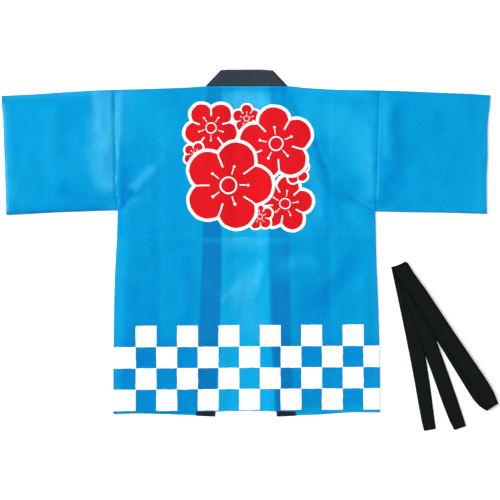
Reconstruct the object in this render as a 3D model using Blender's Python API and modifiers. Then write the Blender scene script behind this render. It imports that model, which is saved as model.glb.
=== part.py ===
"""A happi coat laid flat, back upwards, with its folded belt beside it.

The table is z = 0. The coat is drawn in its own frame, in metres: x runs across it from its
centre line, to the right as the back is seen, and y runs up it from the shoulder line at the
neck. Everything hangs from one empty, which puts the middle of the whole layout at the origin.
"""

import math
from collections import namedtuple

import bmesh
import bpy
from mathutils import Vector

# Cloth thicknesses and the clearance that pieces keep
BODY_WALL = 0.0010
COLLAR_WALL = 0.0016
BELT_WALL = 0.0012
GAP = 0.0003
SEAM = 0.0007

# Heights of the middle of the cloth above the table
LOWER = BODY_WALL / 2
ON_FRONT = BODY_WALL + GAP + BODY_WALL / 2
ON_BAND = COLLAR_WALL + GAP + BODY_WALL / 2
FOLD_TOP = 0.0037
FOLD_RADIUS = (FOLD_TOP - LOWER) / 2
COLLAR_LOWER = COLLAR_WALL / 2
COLLAR_UPPER = COLLAR_LOWER + COLLAR_WALL + GAP
COLLAR_FOLD_RADIUS = (COLLAR_UPPER - COLLAR_LOWER) / 2

# How far the cloth takes to rise on to what lies under it, and into a folded edge
BAND_RISE = 0.020
FOLD_REACH = 0.034
NECK_REACH = 0.026
UNDERARM_TURN = 0.020
BELOW_UNDERARM = 0.465
AIR = 0.0007

# The neck: half the flat stretch of its edge, and where the collar's middle lies on the table
NECK_HALF = 0.0943
NECK_CORNER = 0.100
NECK_SAG_OUTER = 0.057
NECK_SAG_INNER = 0.025
SHOULDER_TURN_START = 0.002
SHOULDER_TURN_RISE = 0.016

# The whole layout, from the left cuff to the belt's fold and from the neck to the belt's end
LAYOUT_LEFT = -0.5636
LAYOUT_RIGHT = 0.5789
LAYOUT_TOP = 0.0388
LAYOUT_BOTTOM = -0.7940

Row = namedtuple("Row", "x y")
Band = namedtuple("Band", "y left_outer left_inner right_inner right_outer")
Crease = namedtuple("Crease", "x0 y0 x1 y1 half_width height")
Strip = namedtuple("Strip", "along across width")

TOP_EDGE = [
    Row(-0.5636, -0.0223),
    Row(-0.486, -0.0186),
    Row(-0.417, -0.0136),
    Row(-0.348, -0.0097),
    Row(-0.305, -0.0083),
    Row(-0.210, -0.0056),
    Row(-0.141, -0.0032),
    Row(-0.100, -0.0005),
    Row(-0.091, 0.0),
    Row(0.091, 0.0),
    Row(0.100, 0.0),
    Row(0.135, -0.0039),
    Row(0.204, -0.0080),
    Row(0.303, -0.0094),
    Row(0.376, -0.0120),
    Row(0.445, -0.0150),
    Row(0.514, -0.0175),
    Row(0.5603, -0.0207),
]
UNDERARM_LEFT = [
    Row(-0.5529, -0.2960),
    Row(-0.5115, -0.2939),
    Row(-0.4380, -0.2896),
    Row(-0.3640, -0.2870),
    Row(-0.2969, -0.2847),
]
UNDERARM_RIGHT = [
    Row(0.2958, -0.2875),
    Row(0.3490, -0.2889),
    Row(0.4220, -0.2898),
    Row(0.4960, -0.2914),
    Row(0.5522, -0.2933),
]
CUFF_LEFT = [
    Row(-0.5529, -0.2960),
    Row(-0.5555, -0.2020),
    Row(-0.5589, -0.1100),
    Row(-0.5605, -0.0640),
    Row(-0.5629, -0.0410),
    Row(-0.5636, -0.0223),
]
CUFF_RIGHT = [
    Row(0.5522, -0.2930),
    Row(0.5520, -0.2020),
    Row(0.5538, -0.1560),
    Row(0.5538, -0.0870),
    Row(0.5557, -0.0640),
    Row(0.5587, -0.0410),
    Row(0.5603, -0.0207),
]
ARMHOLE_LEFT = [Row(-0.2969, -0.2847), Row(-0.3057, -0.0083)]
ARMHOLE_RIGHT = [Row(0.2958, -0.2875), Row(0.3027, -0.0094)]
SIDE_LEFT = [
    Row(-0.3068, -0.7550),
    Row(-0.3070, -0.6580),
    Row(-0.3059, -0.5610),
    Row(-0.3048, -0.4920),
    Row(-0.3027, -0.4230),
    Row(-0.3008, -0.3890),
    Row(-0.2985, -0.3540),
    Row(-0.2968, -0.2847),
]
SIDE_RIGHT = [
    Row(0.3064, -0.7550),
    Row(0.3061, -0.6580),
    Row(0.3040, -0.5610),
    Row(0.3018, -0.4920),
    Row(0.2988, -0.4230),
    Row(0.2969, -0.3540),
    Row(0.2957, -0.2875),
]
HEM_BACK = [
    Row(-0.3070, -0.7525),
    Row(-0.2900, -0.7545),
    Row(-0.2500, -0.7525),
    Row(-0.1900, -0.7510),
    Row(-0.0700, -0.7475),
    Row(0.0650, -0.7475),
    Row(0.1900, -0.7505),
    Row(0.2600, -0.7485),
    Row(0.3064, -0.7505),
]
HEM_FRONT = [
    Row(-0.3070, -0.7525),
    Row(-0.2500, -0.7530),
    Row(-0.1900, -0.7550),
    Row(-0.1180, -0.7580),
    Row(0.1160, -0.7575),
    Row(0.1760, -0.7540),
    Row(0.2000, -0.7510),
    Row(0.3064, -0.7495),
]

# The collar's front bands, from the shoulder down to the hem
BANDS = [
    Band(-0.757, -0.1166, -0.0727, 0.0690, 0.1129),
    Band(-0.600, -0.1122, -0.0607, 0.0585, 0.1085),
    Band(-0.400, -0.1035, -0.0562, 0.0527, 0.1033),
    Band(-0.200, -0.0985, -0.0560, 0.0545, 0.0985),
    Band(0.000, -0.0943, -0.0565, 0.0566, 0.0934),
]
BAND_END_INNER = -0.7604
BAND_END_OUTER = -0.7584

# The neck band's two edges, and the slanting fold that turns it into each front band
NECK_SEAM = 0.00035
NECK_FREE_EDGE = [Row(-0.0572, 0.0371), Row(-0.040, 0.0384), Row(0.034, 0.0388), Row(0.0576, 0.0363)]
TURN_LEFT = (Vector((-0.0925, 0.00035)), Vector((-0.0572, 0.0371)))
TURN_RIGHT = (Vector((0.0919, 0.00035)), Vector((0.0576, 0.0363)))

# The largest folds of the upper cloth: two packing creases, one across the back, and the
# pulls that fan out of the underarms. A negative height is a trough.
CREASES = [
    Crease(-0.199, -0.030, -0.197, -0.560, 0.026, 0.0016),
    Crease(0.189, -0.020, 0.191, -0.560, 0.026, 0.0016),
    Crease(-0.155, -0.350, 0.110, -0.350, 0.022, 0.0012),
    Crease(-0.293, -0.272, -0.187, -0.182, 0.024, 0.0030),
    Crease(-0.290, -0.285, -0.153, -0.331, 0.024, 0.0024),
    Crease(0.290, -0.280, 0.192, -0.239, 0.024, 0.0030),
    Crease(0.146, -0.067, 0.192, -0.220, 0.028, -0.0010),
    Crease(-0.350, -0.060, -0.346, -0.236, 0.032, 0.0034),
    Crease(0.352, -0.050, 0.345, -0.230, 0.030, 0.0022),
    Crease(-0.325, -0.268, -0.430, -0.190, 0.026, 0.0020),
    Crease(0.322, -0.270, 0.420, -0.200, 0.026, 0.0018),
]
CREASE_FADE = 4.0
CREASE_END = 0.4

# The slow waves of the upper cloth: waves per metre times a turn, and where they start
SWELL_ACROSS = 31.0
SWELL_ALONG = 23.0
SWELL_ACROSS_START = 0.8
SWELL_ALONG_START = -0.5

# How many cells each stretch of cloth is cut into
CURL_CELLS = 3
SIDE_CELLS = 7
BACK_UPPER_ROWS = 10
BACK_LOWER_ROWS = 17
FRONT_CELLS = 4
FRONT_UPPER_ROWS = 4
FRONT_LOWER_ROWS = 12
SLEEVE_CELLS_ALONG = 9
SLEEVE_CELLS_ACROSS = 11
SLEEVE_FOLD_CELLS = 6
SLEEVE_LOWER_CELLS = 3
COLLAR_FOLD_CELLS = 4
UNDERARM_ROWS = (0.0, 0.5, 1.0)

# Where the collar is cut across: down each front band, and along the neck as seam x and free x
BAND_SPOTS = (-0.757, -0.680, -0.600, -0.500, -0.400, -0.300, -0.200, -0.100, -0.030)
NECK_SPOTS = [
    (-0.078, -0.0568),
    (-NECK_SAG_OUTER, -0.0560),
    (-0.041, -0.041),
    (-NECK_SAG_INNER, -NECK_SAG_INNER),
    (0.0, 0.0),
]

# Columns stand this far outside a band's edges, rows and columns find each other at these
# places, points this near each other are one, and edges sharper than this stay sharp
BAND_MARGIN = 0.001
GUIDE_X = 0.2
SLEEVE_GUIDE_Y = -0.015
MERGE = 0.00001
SHARP_ANGLE = math.radians(50)

# The belt: heights of its four layers, and where each strip runs from the top fold
BELT_PITCH = BELT_WALL + GAP
BELT_LEVELS = [BELT_WALL / 2 + layer * BELT_PITCH for layer in range(4)]
BELT_TOP = Vector((0.3505, -0.4138))
BELT_INNER_TOP = Vector((0.3551, -0.4147))
BELT_END_ANGLE = math.radians(10.8)
BELT_OTHER_END_ANGLE = math.radians(20.1)
BELT_DOUBLED_ANGLE = math.radians(33.5)
BELT_END_STRIP = [
    Strip(0.0000, 0.0000, 0.0361),
    Strip(0.0790, 0.0018, 0.0360),
    Strip(0.1500, 0.0030, 0.0360),
    Strip(0.2200, 0.0034, 0.0358),
    Strip(0.2670, 0.0027, 0.0344),
    Strip(0.3140, 0.0010, 0.0328),
    Strip(0.3620, -0.0006, 0.0302),
    Strip(0.3842, -0.0004, 0.0276),
]
BELT_OTHER_END_STRIP = [
    Strip(0.0000, 0.0000, 0.0355),
    Strip(0.1200, 0.0004, 0.0355),
    Strip(0.2500, 0.0000, 0.0355),
    Strip(0.3350, -0.0008, 0.0350),
    Strip(0.3740, -0.0009, 0.0327),
    Strip(0.3960, 0.0000, 0.0287),
]
BELT_UPPER_STRIP = [
    Strip(0.0000, 0.0000, 0.0361),
    Strip(0.0820, 0.0034, 0.0365),
    Strip(0.1920, 0.0032, 0.0368),
    Strip(0.2760, 0.0042, 0.0370),
    Strip(0.3320, 0.0048, 0.0370),
    Strip(0.3590, 0.0040, 0.0358),
    Strip(0.3880, 0.0000, 0.0325),
]
BELT_LOWER_STRIP = [
    Strip(0.3880, 0.0000, 0.0325),
    Strip(0.3830, -0.0021, 0.0336),
    Strip(0.3720, -0.0062, 0.0350),
    Strip(0.3530, -0.0090, 0.0360),
    Strip(0.3260, -0.0086, 0.0365),
    Strip(0.2450, -0.0059, 0.0365),
    Strip(0.1000, -0.0013, 0.0360),
    Strip(0.0033, 0.0029, 0.0355),
]
BELT_TOP_RADIUS = (BELT_LEVELS[3] - BELT_LEVELS[0]) / 2
BELT_SMALL_RADIUS = BELT_PITCH / 2
BELT_FOLD_STEPS = 6

# Colour, roughness and metallic value of each cloth
BLUE = ((0.006, 0.345, 0.730, 1.0), 0.80, 0.0)
CHARCOAL = ((0.034, 0.047, 0.058, 1.0), 0.85, 0.0)
BLACK = ((0.006, 0.006, 0.007, 1.0), 0.85, 0.0)


def between(start, end, part):
    return start + (end - start) * part


def eased(part):
    """0 to 1 with soft ends, held outside that range."""
    part = min(max(part, 0.0), 1.0)
    return part * part * (3.0 - 2.0 * part)


def read_rows(rows, at, key, value):
    """The value at a place along a table whose key column rises, held past its ends."""
    for low, high in zip(rows, rows[1:]):
        start = getattr(low, key)
        end = getattr(high, key)
        if at <= end:
            part = min(max((at - start) / (end - start), 0.0), 1.0)
            return between(getattr(low, value), getattr(high, value), part)
    return getattr(rows[-1], value)


def y_at(rows, x):
    return read_rows(rows, x, "x", "y")


def x_at(rows, y):
    return read_rows(rows, y, "y", "x")


def armhole(side, y):
    """How far the armhole seam is from the centre line. The left side is -1, the right side 1."""
    return side * x_at(ARMHOLE_LEFT if side < 0 else ARMHOLE_RIGHT, y)


def armpit(side):
    rows = UNDERARM_LEFT[-1] if side < 0 else UNDERARM_RIGHT[0]
    return rows.y


def body_side(side, y):
    return side * x_at(SIDE_LEFT if side < 0 else SIDE_RIGHT, y)


def underarm(side, x):
    return y_at(UNDERARM_LEFT if side < 0 else UNDERARM_RIGHT, x)


def band_inner(side, y):
    name = "left_inner" if side < 0 else "right_inner"
    return side * read_rows(BANDS, y, "y", name)


def band_outer(side, y):
    name = "left_outer" if side < 0 else "right_outer"
    return side * read_rows(BANDS, y, "y", name)


def collar_height(x):
    """The middle of the neck band: up on the front bands at its ends, on the table between them."""
    part = (abs(x) - NECK_SAG_INNER) / (NECK_SAG_OUTER - NECK_SAG_INNER)
    return between(COLLAR_LOWER, COLLAR_UPPER, min(max(part, 0.0), 1.0))


def fold_distance(x, y):
    """How far a point of the upper cloth is from the nearest folded edge."""
    side = -1 if x < 0 else 1
    out = abs(x)
    if out < NECK_CORNER:
        top = math.hypot(NECK_CORNER - out, y)
    else:
        top = y_at(TOP_EDGE, x) - y
    if y > armpit(side) and out > armhole(side, y):
        low = y - underarm(side, x)
    elif y < armpit(side):
        low = body_side(side, y) - out
    else:
        low = math.hypot(armhole(side, armpit(side)) - out, y - armpit(side))
    return max(min(top, low), 0.0)


def resting_height(x, y):
    """The middle of the upper cloth where it lies on the table, the bands and the fronts."""
    side = -1 if x < 0 else 1
    out = abs(x)
    inner = band_inner(side, y)
    outer = band_outer(side, y)
    on_band = eased((out - inner + BAND_RISE) / BAND_RISE)
    on_front = eased((out - outer) / BAND_RISE)
    height = between(LOWER, ON_BAND, on_band)
    height = between(height, ON_FRONT, on_front)
    at_neck = eased(1.0 + y / NECK_REACH) * (1.0 - on_front)
    return max(height, between(height, collar_height(x), at_neck))


def crease_height(x, y):
    """The sum of the folds that pass a point, each fading across its width and at its ends."""
    total = 0.0
    for crease in CREASES:
        run = Vector((crease.x1 - crease.x0, crease.y1 - crease.y0))
        point = Vector((x - crease.x0, y - crease.y0))
        along = point.dot(run) / run.length_squared
        off = (point - run * min(max(along, 0.0), 1.0)).length
        start_fade = eased(along * CREASE_FADE + CREASE_END)
        end_fade = eased((1.0 - along) * CREASE_FADE + CREASE_END)
        total += crease.height * eased(1.0 - off / crease.half_width) * start_fade * end_fade
    return total


def upper_height(x, y):
    """The middle of the upper cloth above the table."""
    base = resting_height(x, y)
    inside = max(fold_distance(x, y) - FOLD_RADIUS, 0.0)
    near_fold = eased(1.0 - inside / FOLD_REACH)
    loose = eased((base - LOWER) / (ON_FRONT - LOWER))
    wave_across = math.sin(x * SWELL_ACROSS + SWELL_ACROSS_START)
    wave_along = math.cos(y * SWELL_ALONG + SWELL_ALONG_START)
    swell = 0.5 + 0.5 * wave_across * wave_along
    lift = AIR * swell * loose + crease_height(x, y)
    return between(base + max(lift, 0.0), FOLD_TOP, near_fold)


def curl(strip, amount):
    """How far out and how far round a point goes on cloth that turns a quarter circle.

    strip is the length of cloth past the start of the turn, and amount is 1 for the whole
    turn and 0 for cloth that stays flat.
    """
    if amount < 0.001:
        return strip, 0.0
    radius = FOLD_RADIUS / amount
    angle = strip / radius
    return radius * math.sin(angle), radius * (1.0 - math.cos(angle))


CURL_LENGTH = FOLD_RADIUS * math.pi / 2 - SEAM / 2


def strip_lengths(cells):
    """Lengths past the start of a turn, from the cloth's edge to the start."""
    return [CURL_LENGTH * (cells - step) / cells for step in range(cells)]


def grid_object(name, columns, rows, place, wall, closed_across=False):
    """A sheet of cloth: a grid whose points are put where place(column, row) says, thickened."""
    bm = bmesh.new()
    bmesh.ops.create_grid(bm, x_segments=columns, y_segments=rows, size=1.0)
    for vert in bm.verts:
        column = round((vert.co.x + 1.0) / 2.0 * columns)
        row = round((vert.co.y + 1.0) / 2.0 * rows)
        vert.co = place(column, row)
    if closed_across:
        bmesh.ops.remove_doubles(bm, verts=bm.verts, dist=MERGE)
    bmesh.ops.recalc_face_normals(bm, faces=bm.faces)
    mesh = bpy.data.meshes.new(name)
    bm.to_mesh(mesh)
    bm.free()
    mesh.shade_smooth()
    mesh.set_sharp_from_angle(angle=SHARP_ANGLE)
    obj = bpy.data.objects.new(name, mesh)
    solidify = obj.modifiers.new("wall", "SOLIDIFY")
    solidify.thickness = wall
    solidify.offset = 0.0
    solidify.use_even_offset = True
    return obj


def shoulder_turn(x):
    """How much of a turn the body's top edge makes: none along the neck, all of it past that."""
    return eased((abs(x) - NECK_HALF - SHOULDER_TURN_START) / SHOULDER_TURN_RISE)


def side_turn(side, y):
    """How much of a turn the body's side makes: none along the armhole, all of it below."""
    return eased((armpit(side) - y) / UNDERARM_TURN)


def panel_edge(side, y):
    """The body's outer edge on one side: the armhole seam, then the fold below it."""
    if y > armpit(side):
        return armhole(side, y) - SEAM / 2
    return body_side(side, y)


def half_columns(side, y, with_neck):
    """Distances from the centre line of one side's columns, from its outer fold inwards."""
    reach = curl(CURL_LENGTH, side_turn(side, y))[0]
    start = panel_edge(side, y) - reach
    outer = band_outer(side, y)
    if not with_neck:
        end = outer + SEAM
        return [between(start, end, step / FRONT_CELLS) for step in range(FRONT_CELLS + 1)]
    inner = band_inner(side, y)
    slope = outer + BAND_RISE
    columns = [between(start, slope, step / SIDE_CELLS) for step in range(SIDE_CELLS + 1)]
    columns += [outer + BAND_RISE / 2, outer + BAND_MARGIN, (outer + inner) / 2]
    columns += [inner - BAND_MARGIN]
    columns += [inner - BAND_RISE / 2, inner - BAND_RISE]
    return columns


def row_places(upper_rows, lower_rows):
    """Each row as its side of the armpit and how far along that stretch it is."""
    rows = [("above", step / upper_rows) for step in range(upper_rows)]
    rows += [("below", UNDERARM_TURN * part / BELOW_UNDERARM) for part in UNDERARM_ROWS]
    rows += [("below", step / lower_rows) for step in range(1, lower_rows + 1)]
    return rows


def row_y(row, side, x, hem):
    """The y of a row where it crosses a column."""
    stretch, part = row
    middle = armpit(side)
    if stretch == "below":
        return between(middle, y_at(hem, x), part)
    reach = curl(CURL_LENGTH, shoulder_turn(x))[0]
    return between(y_at(TOP_EDGE, x) - GAP / 2 - reach, middle, part)


def body_point(x, y, over_side, over_top, side, upper):
    """A point of the body, with its turns at the side and at the shoulder.

    over_side and over_top are lengths of cloth past the start of each turn.
    """
    out, side_drop = curl(over_side, side_turn(side, y)) if over_side else (0.0, 0.0)
    up, top_drop = curl(over_top, shoulder_turn(x)) if over_top else (0.0, 0.0)
    drop = side_drop + top_drop
    height = upper_height(x, y) - drop if upper else LOWER + drop
    return Vector((x + side * out, y + up, height))


def make_back():
    """The back, in one piece from side to side. Its neck edge meets the collar."""
    strips = strip_lengths(CURL_CELLS)
    rows = row_places(BACK_UPPER_ROWS, BACK_LOWER_ROWS)
    half = CURL_CELLS + len(half_columns(-1, 0.0, True))
    columns = 2 * half + 1

    def place(column, row):
        side = -1 if column < half else 1
        index = column if column < half else columns - 1 - column
        over_top = strips[row] if row < CURL_CELLS else 0.0
        body_row = rows[max(row - CURL_CELLS, 0)]
        guide_y = row_y(body_row, side, side * GUIDE_X, HEM_BACK)
        over_side = strips[index] if index < CURL_CELLS else 0.0
        if index == half:
            x = 0.0
        else:
            x = side * half_columns(side, guide_y, True)[max(index - CURL_CELLS, 0)]
        return body_point(x, row_y(body_row, side, x, HEM_BACK), over_side, over_top, side, True)

    return grid_object("back", columns - 1, CURL_CELLS + len(rows) - 1, place, BODY_WALL)


def make_front(name, side):
    """One front, flat on the table, turned up at its side and its shoulder to meet the back."""
    strips = strip_lengths(CURL_CELLS)
    rows = row_places(FRONT_UPPER_ROWS, FRONT_LOWER_ROWS)

    def place(column, row):
        over_top = strips[row] if row < CURL_CELLS else 0.0
        body_row = rows[max(row - CURL_CELLS, 0)]
        guide_y = row_y(body_row, side, side * GUIDE_X, HEM_FRONT)
        over_side = strips[column] if column < CURL_CELLS else 0.0
        x = side * half_columns(side, guide_y, False)[max(column - CURL_CELLS, 0)]
        return body_point(x, row_y(body_row, side, x, HEM_FRONT), over_side, over_top, side, False)

    return grid_object(name, CURL_CELLS + FRONT_CELLS, CURL_CELLS + len(rows) - 1, place, BODY_WALL)


def sleeve_loop(cells_across):
    """Places round a flattened sleeve: its face, its underarm fold, its other face, its top fold."""
    loop = [("upper", step / cells_across) for step in range(cells_across)]
    loop += [("underarm", step / SLEEVE_FOLD_CELLS) for step in range(SLEEVE_FOLD_CELLS)]
    loop += [("lower", step / SLEEVE_LOWER_CELLS) for step in range(SLEEVE_LOWER_CELLS)]
    loop += [("top", step / SLEEVE_FOLD_CELLS) for step in range(SLEEVE_FOLD_CELLS)]
    return loop + [("upper", 0.0)]


def make_sleeve(name, side):
    """One sleeve, a flattened tube, open at the cuff and at the armhole."""
    loop = sleeve_loop(SLEEVE_CELLS_ACROSS)
    cuff = CUFF_LEFT if side < 0 else CUFF_RIGHT

    def place(column, row):
        stretch, part = loop[column]
        height_part = {"upper": part, "underarm": 1.0, "lower": 1.0 - part, "top": 0.0}[stretch]
        guide_y = between(SLEEVE_GUIDE_Y, armpit(side), height_part)
        seam_x = side * (armhole(side, guide_y) + SEAM / 2)
        x = between(x_at(cuff, guide_y), seam_x, row / SLEEVE_CELLS_ALONG)
        top = y_at(TOP_EDGE, x) - FOLD_RADIUS
        low = underarm(side, x) + FOLD_RADIUS
        y = between(top, low, height_part)
        if stretch == "upper":
            return Vector((x, y, upper_height(x, y)))
        if stretch == "lower":
            return Vector((x, y, LOWER))
        turn = math.pi * part
        middle = (FOLD_TOP + LOWER) / 2
        if stretch == "underarm":
            reach = -FOLD_RADIUS * math.sin(turn)
            return Vector((x, y + reach, middle + FOLD_RADIUS * math.cos(turn)))
        return Vector((x, y + FOLD_RADIUS * math.sin(turn), middle - FOLD_RADIUS * math.cos(turn)))

    return grid_object(name, len(loop) - 1, SLEEVE_CELLS_ALONG, place, BODY_WALL, closed_across=True)


def band_stations(side):
    """The collar's front band from its lower end up to the slanting fold: seam edge, free edge."""
    turn = TURN_LEFT if side < 0 else TURN_RIGHT
    stations = []
    for y in BAND_SPOTS:
        seam_y = BAND_END_OUTER if y == BAND_SPOTS[0] else y
        free_y = BAND_END_INNER if y == BAND_SPOTS[0] else y
        seam = Vector((side * band_outer(side, y), seam_y, COLLAR_LOWER))
        free = Vector((side * band_inner(side, y), free_y, COLLAR_LOWER))
        stations.append((seam, free))
    stations.append((turn[0].to_3d(), turn[1].to_3d()))
    for point in stations[-1]:
        point.z = COLLAR_LOWER
    return stations


def turn_stations(side):
    """The slanting fold at one corner of the neck, from the front band up to the neck band."""
    seam, free = TURN_LEFT if side < 0 else TURN_RIGHT
    run = (free - seam).normalized()
    outward = Vector((-run.y, run.x)) * -side
    stations = []
    for step in range(1, COLLAR_FOLD_CELLS + 1):
        angle = math.pi * step / COLLAR_FOLD_CELLS
        shift = (outward * COLLAR_FOLD_RADIUS * math.sin(angle)).to_3d()
        shift.z = (COLLAR_LOWER + COLLAR_UPPER) / 2 - COLLAR_FOLD_RADIUS * math.cos(angle)
        stations.append((seam.to_3d() + shift, free.to_3d() + shift))
    return stations


def neck_stations():
    """The neck band between its two corner folds, sagging to the table in the middle."""
    other_side = [(-seam, -free) for seam, free in reversed(NECK_SPOTS[:-1])]
    stations = []
    for seam_x, free_x in NECK_SPOTS + other_side:
        height = collar_height(seam_x)
        free = Vector((free_x, y_at(NECK_FREE_EDGE, free_x), height))
        stations.append((Vector((seam_x, NECK_SEAM, height)), free))
    return stations


def make_collar():
    """The collar: one long band, up one front, round the back of the neck and down the other."""
    stations = band_stations(-1) + turn_stations(-1) + neck_stations()
    stations += list(reversed(turn_stations(1))) + list(reversed(band_stations(1)))

    def place(column, row):
        seam, free = stations[row]
        return seam.lerp(free, column)

    return grid_object("collar", 1, len(stations) - 1, place, COLLAR_WALL)


def strip_stations(strips, angle, start, level):
    """Left and right edge points of one strip of the belt, which runs down and to the right."""
    run = Vector((math.sin(angle), -math.cos(angle)))
    right = Vector((-run.y, run.x))
    stations = []
    for strip in strips:
        middle = start + run * strip.along + right * strip.across
        half = right * strip.width / 2
        pair = ((middle - half).to_3d(), (middle + half).to_3d())
        for point in pair:
            point.z = level
        stations.append(pair)
    return stations


def belt_fold(start, end, outward, radius):
    """The half turn between two layers, whose last and first stations it joins."""
    stations = []
    low = min(start[0].z, end[0].z)
    rising = 1.0 if end[0].z > start[0].z else -1.0
    for step in range(1, BELT_FOLD_STEPS):
        angle = math.pi * step / BELT_FOLD_STEPS
        part = (1.0 - math.cos(angle)) / 2
        shift = (outward * radius * math.sin(angle)).to_3d()
        pair = (start[0].lerp(end[0], part) + shift, start[1].lerp(end[1], part) + shift)
        for point in pair:
            point.z = low + radius * (1.0 - rising * math.cos(angle))
        stations.append(pair)
    return stations


def heading(angle):
    return Vector((math.sin(angle), -math.cos(angle)))


def make_belt():
    """The belt: doubled, and doubled again, so that one fold lies inside the other."""
    doubled = BELT_DOUBLED_ANGLE
    first_end = strip_stations(BELT_END_STRIP, BELT_END_ANGLE, BELT_TOP, BELT_LEVELS[0])
    upper = strip_stations(BELT_UPPER_STRIP, doubled, BELT_TOP, BELT_LEVELS[3])
    lower = strip_stations(BELT_LOWER_STRIP, doubled, BELT_TOP, BELT_LEVELS[2])
    other_end = strip_stations(
        BELT_OTHER_END_STRIP, BELT_OTHER_END_ANGLE, BELT_INNER_TOP, BELT_LEVELS[1]
    )
    top_out = -heading((doubled + BELT_END_ANGLE) / 2)
    inner_out = -heading((doubled + BELT_OTHER_END_ANGLE) / 2)
    stations = list(reversed(first_end))
    stations += belt_fold(first_end[0], upper[0], top_out, BELT_TOP_RADIUS)
    stations += upper
    stations += belt_fold(upper[-1], lower[0], heading(doubled), BELT_SMALL_RADIUS)
    stations += lower
    stations += belt_fold(lower[-1], other_end[0], inner_out, BELT_SMALL_RADIUS)
    stations += other_end

    def place(column, row):
        left, right = stations[row]
        return left.lerp(right, column)

    return grid_object("belt", 1, len(stations) - 1, place, BELT_WALL)


def make_material(name, look):
    colour, roughness, metallic = look
    material = bpy.data.materials.new(name)
    material.use_nodes = True
    shader = material.node_tree.nodes["Principled BSDF"]
    shader.inputs["Base Color"].default_value = colour
    shader.inputs["Roughness"].default_value = roughness
    shader.inputs["Metallic"].default_value = metallic
    material.diffuse_color = colour
    return material


def clear_scene():
    for obj in list(bpy.data.objects):
        bpy.data.objects.remove(obj, do_unlink=True)


def main():
    clear_scene()
    coat = bpy.data.collections.new("happi_coat")
    bpy.context.scene.collection.children.link(coat)
    layout = bpy.data.objects.new("layout", None)
    layout.location.x = -(LAYOUT_LEFT + LAYOUT_RIGHT) / 2
    layout.location.y = -(LAYOUT_TOP + LAYOUT_BOTTOM) / 2
    coat.objects.link(layout)
    pieces = [
        (make_back(), BLUE),
        (make_front("front_left", -1), BLUE),
        (make_front("front_right", 1), BLUE),
        (make_sleeve("sleeve_left", -1), BLUE),
        (make_sleeve("sleeve_right", 1), BLUE),
        (make_collar(), CHARCOAL),
        (make_belt(), BLACK),
    ]
    for piece, look in pieces:
        piece.data.materials.append(make_material(piece.name + "_cloth", look))
        piece.parent = layout
        coat.objects.link(piece)


main()
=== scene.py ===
"""The looks of a happi coat laid flat with its folded belt: cloth, print, sewing and light.

The table is z = 0. The coat is drawn in its own frame, in metres: x runs across it from its
centre line, to the right as the back is seen, and y runs up it from the shoulder line at the
neck. Everything is then moved by LAYOUT_MOVE, which puts the middle of the layout at the origin.
"""

import math
from collections import namedtuple

import bpy
import numpy as np
from bpy.props import FloatProperty, FloatVectorProperty, PointerProperty
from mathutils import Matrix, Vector


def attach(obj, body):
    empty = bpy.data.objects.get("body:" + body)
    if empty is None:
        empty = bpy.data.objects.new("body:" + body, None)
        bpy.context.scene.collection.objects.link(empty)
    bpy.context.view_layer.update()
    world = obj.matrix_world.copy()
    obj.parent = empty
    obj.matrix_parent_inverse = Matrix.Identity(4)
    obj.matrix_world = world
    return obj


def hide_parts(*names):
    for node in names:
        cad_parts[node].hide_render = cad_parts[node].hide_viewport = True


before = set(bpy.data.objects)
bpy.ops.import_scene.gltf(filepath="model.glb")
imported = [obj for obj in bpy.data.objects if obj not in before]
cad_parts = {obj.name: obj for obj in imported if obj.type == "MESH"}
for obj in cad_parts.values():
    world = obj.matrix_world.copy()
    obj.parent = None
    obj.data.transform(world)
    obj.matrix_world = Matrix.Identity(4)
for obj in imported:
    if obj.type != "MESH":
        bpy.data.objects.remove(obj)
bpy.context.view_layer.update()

bl_info = {
    "name": "Happi Coat Laid Flat",
    "version": (1, 0, 0),
    "blender": (4, 5, 0),
    "location": "View3D > Sidebar > Coat",
    "description": "Dresses a flat happi coat in printed blue cloth, with its collar and folded belt",
    "category": "Object",
}

# The middle of the layout, from the left cuff to the belt's fold and from the neck to its end
LAYOUT_MOVE = np.array([-(-0.5636 + 0.5789) / 2, -(0.0388 - 0.7940) / 2, 0.0])

Row = namedtuple("Row", "x y")
Band = namedtuple("Band", "y left_outer left_inner right_inner right_outer")
Crease = namedtuple("Crease", "x0 y0 x1 y1 near far height sharp")
Patch = namedtuple("Patch", "x0 y0 x1 y1 near far white depth")
Strip = namedtuple("Strip", "along across width")
Flower = namedtuple("Flower", "x y size turn")


def table(kind, lengths, rows):
    """Named rows from a table whose first columns, as many as lengths says, are in millimetres."""
    return [kind(*(value / 1000 for value in row[:lengths]), *row[lengths:]) for row in rows]


TOP_EDGE = table(Row, 2, [
    (-563.6, -22.3), (-486, -18.6), (-417, -13.6), (-348, -9.7), (-305, -8.3), (-210, -5.6), (-141, -3.2),
    (-100, -0.5), (-91, 0), (91, 0), (100, 0), (135, -3.9), (204, -8), (303, -9.4), (376, -12),
    (445, -15), (514, -17.5), (560.3, -20.7),
])
UNDERARM_LEFT = table(Row, 2, [
    (-552.9, -296), (-511.5, -293.9), (-438, -289.6), (-364, -287), (-296.9, -284.7),
])
UNDERARM_RIGHT = table(Row, 2, [
    (295.8, -287.5), (349, -288.9), (422, -289.8), (496, -291.4), (552.2, -293.3),
])
CUFF_LEFT = table(Row, 2, [
    (-552.9, -296), (-555.5, -202), (-558.9, -110), (-560.5, -64), (-562.9, -41), (-563.6, -22.3),
])
CUFF_RIGHT = table(Row, 2, [
    (552.2, -293), (552, -202), (553.8, -156), (553.8, -87), (555.7, -64), (558.7, -41), (560.3, -20.7),
])
ARMHOLE_LEFT = table(Row, 2, [
    (-296.9, -284.7), (-300, -262.2), (-302.6, -239.2), (-303.6, -193.2), (-305.4, -124.2), (-307, -78),
    (-305.7, -8.3),
])
ARMHOLE_RIGHT = table(Row, 2, [(295.8, -287.5), (302.7, -9.4)])
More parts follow.
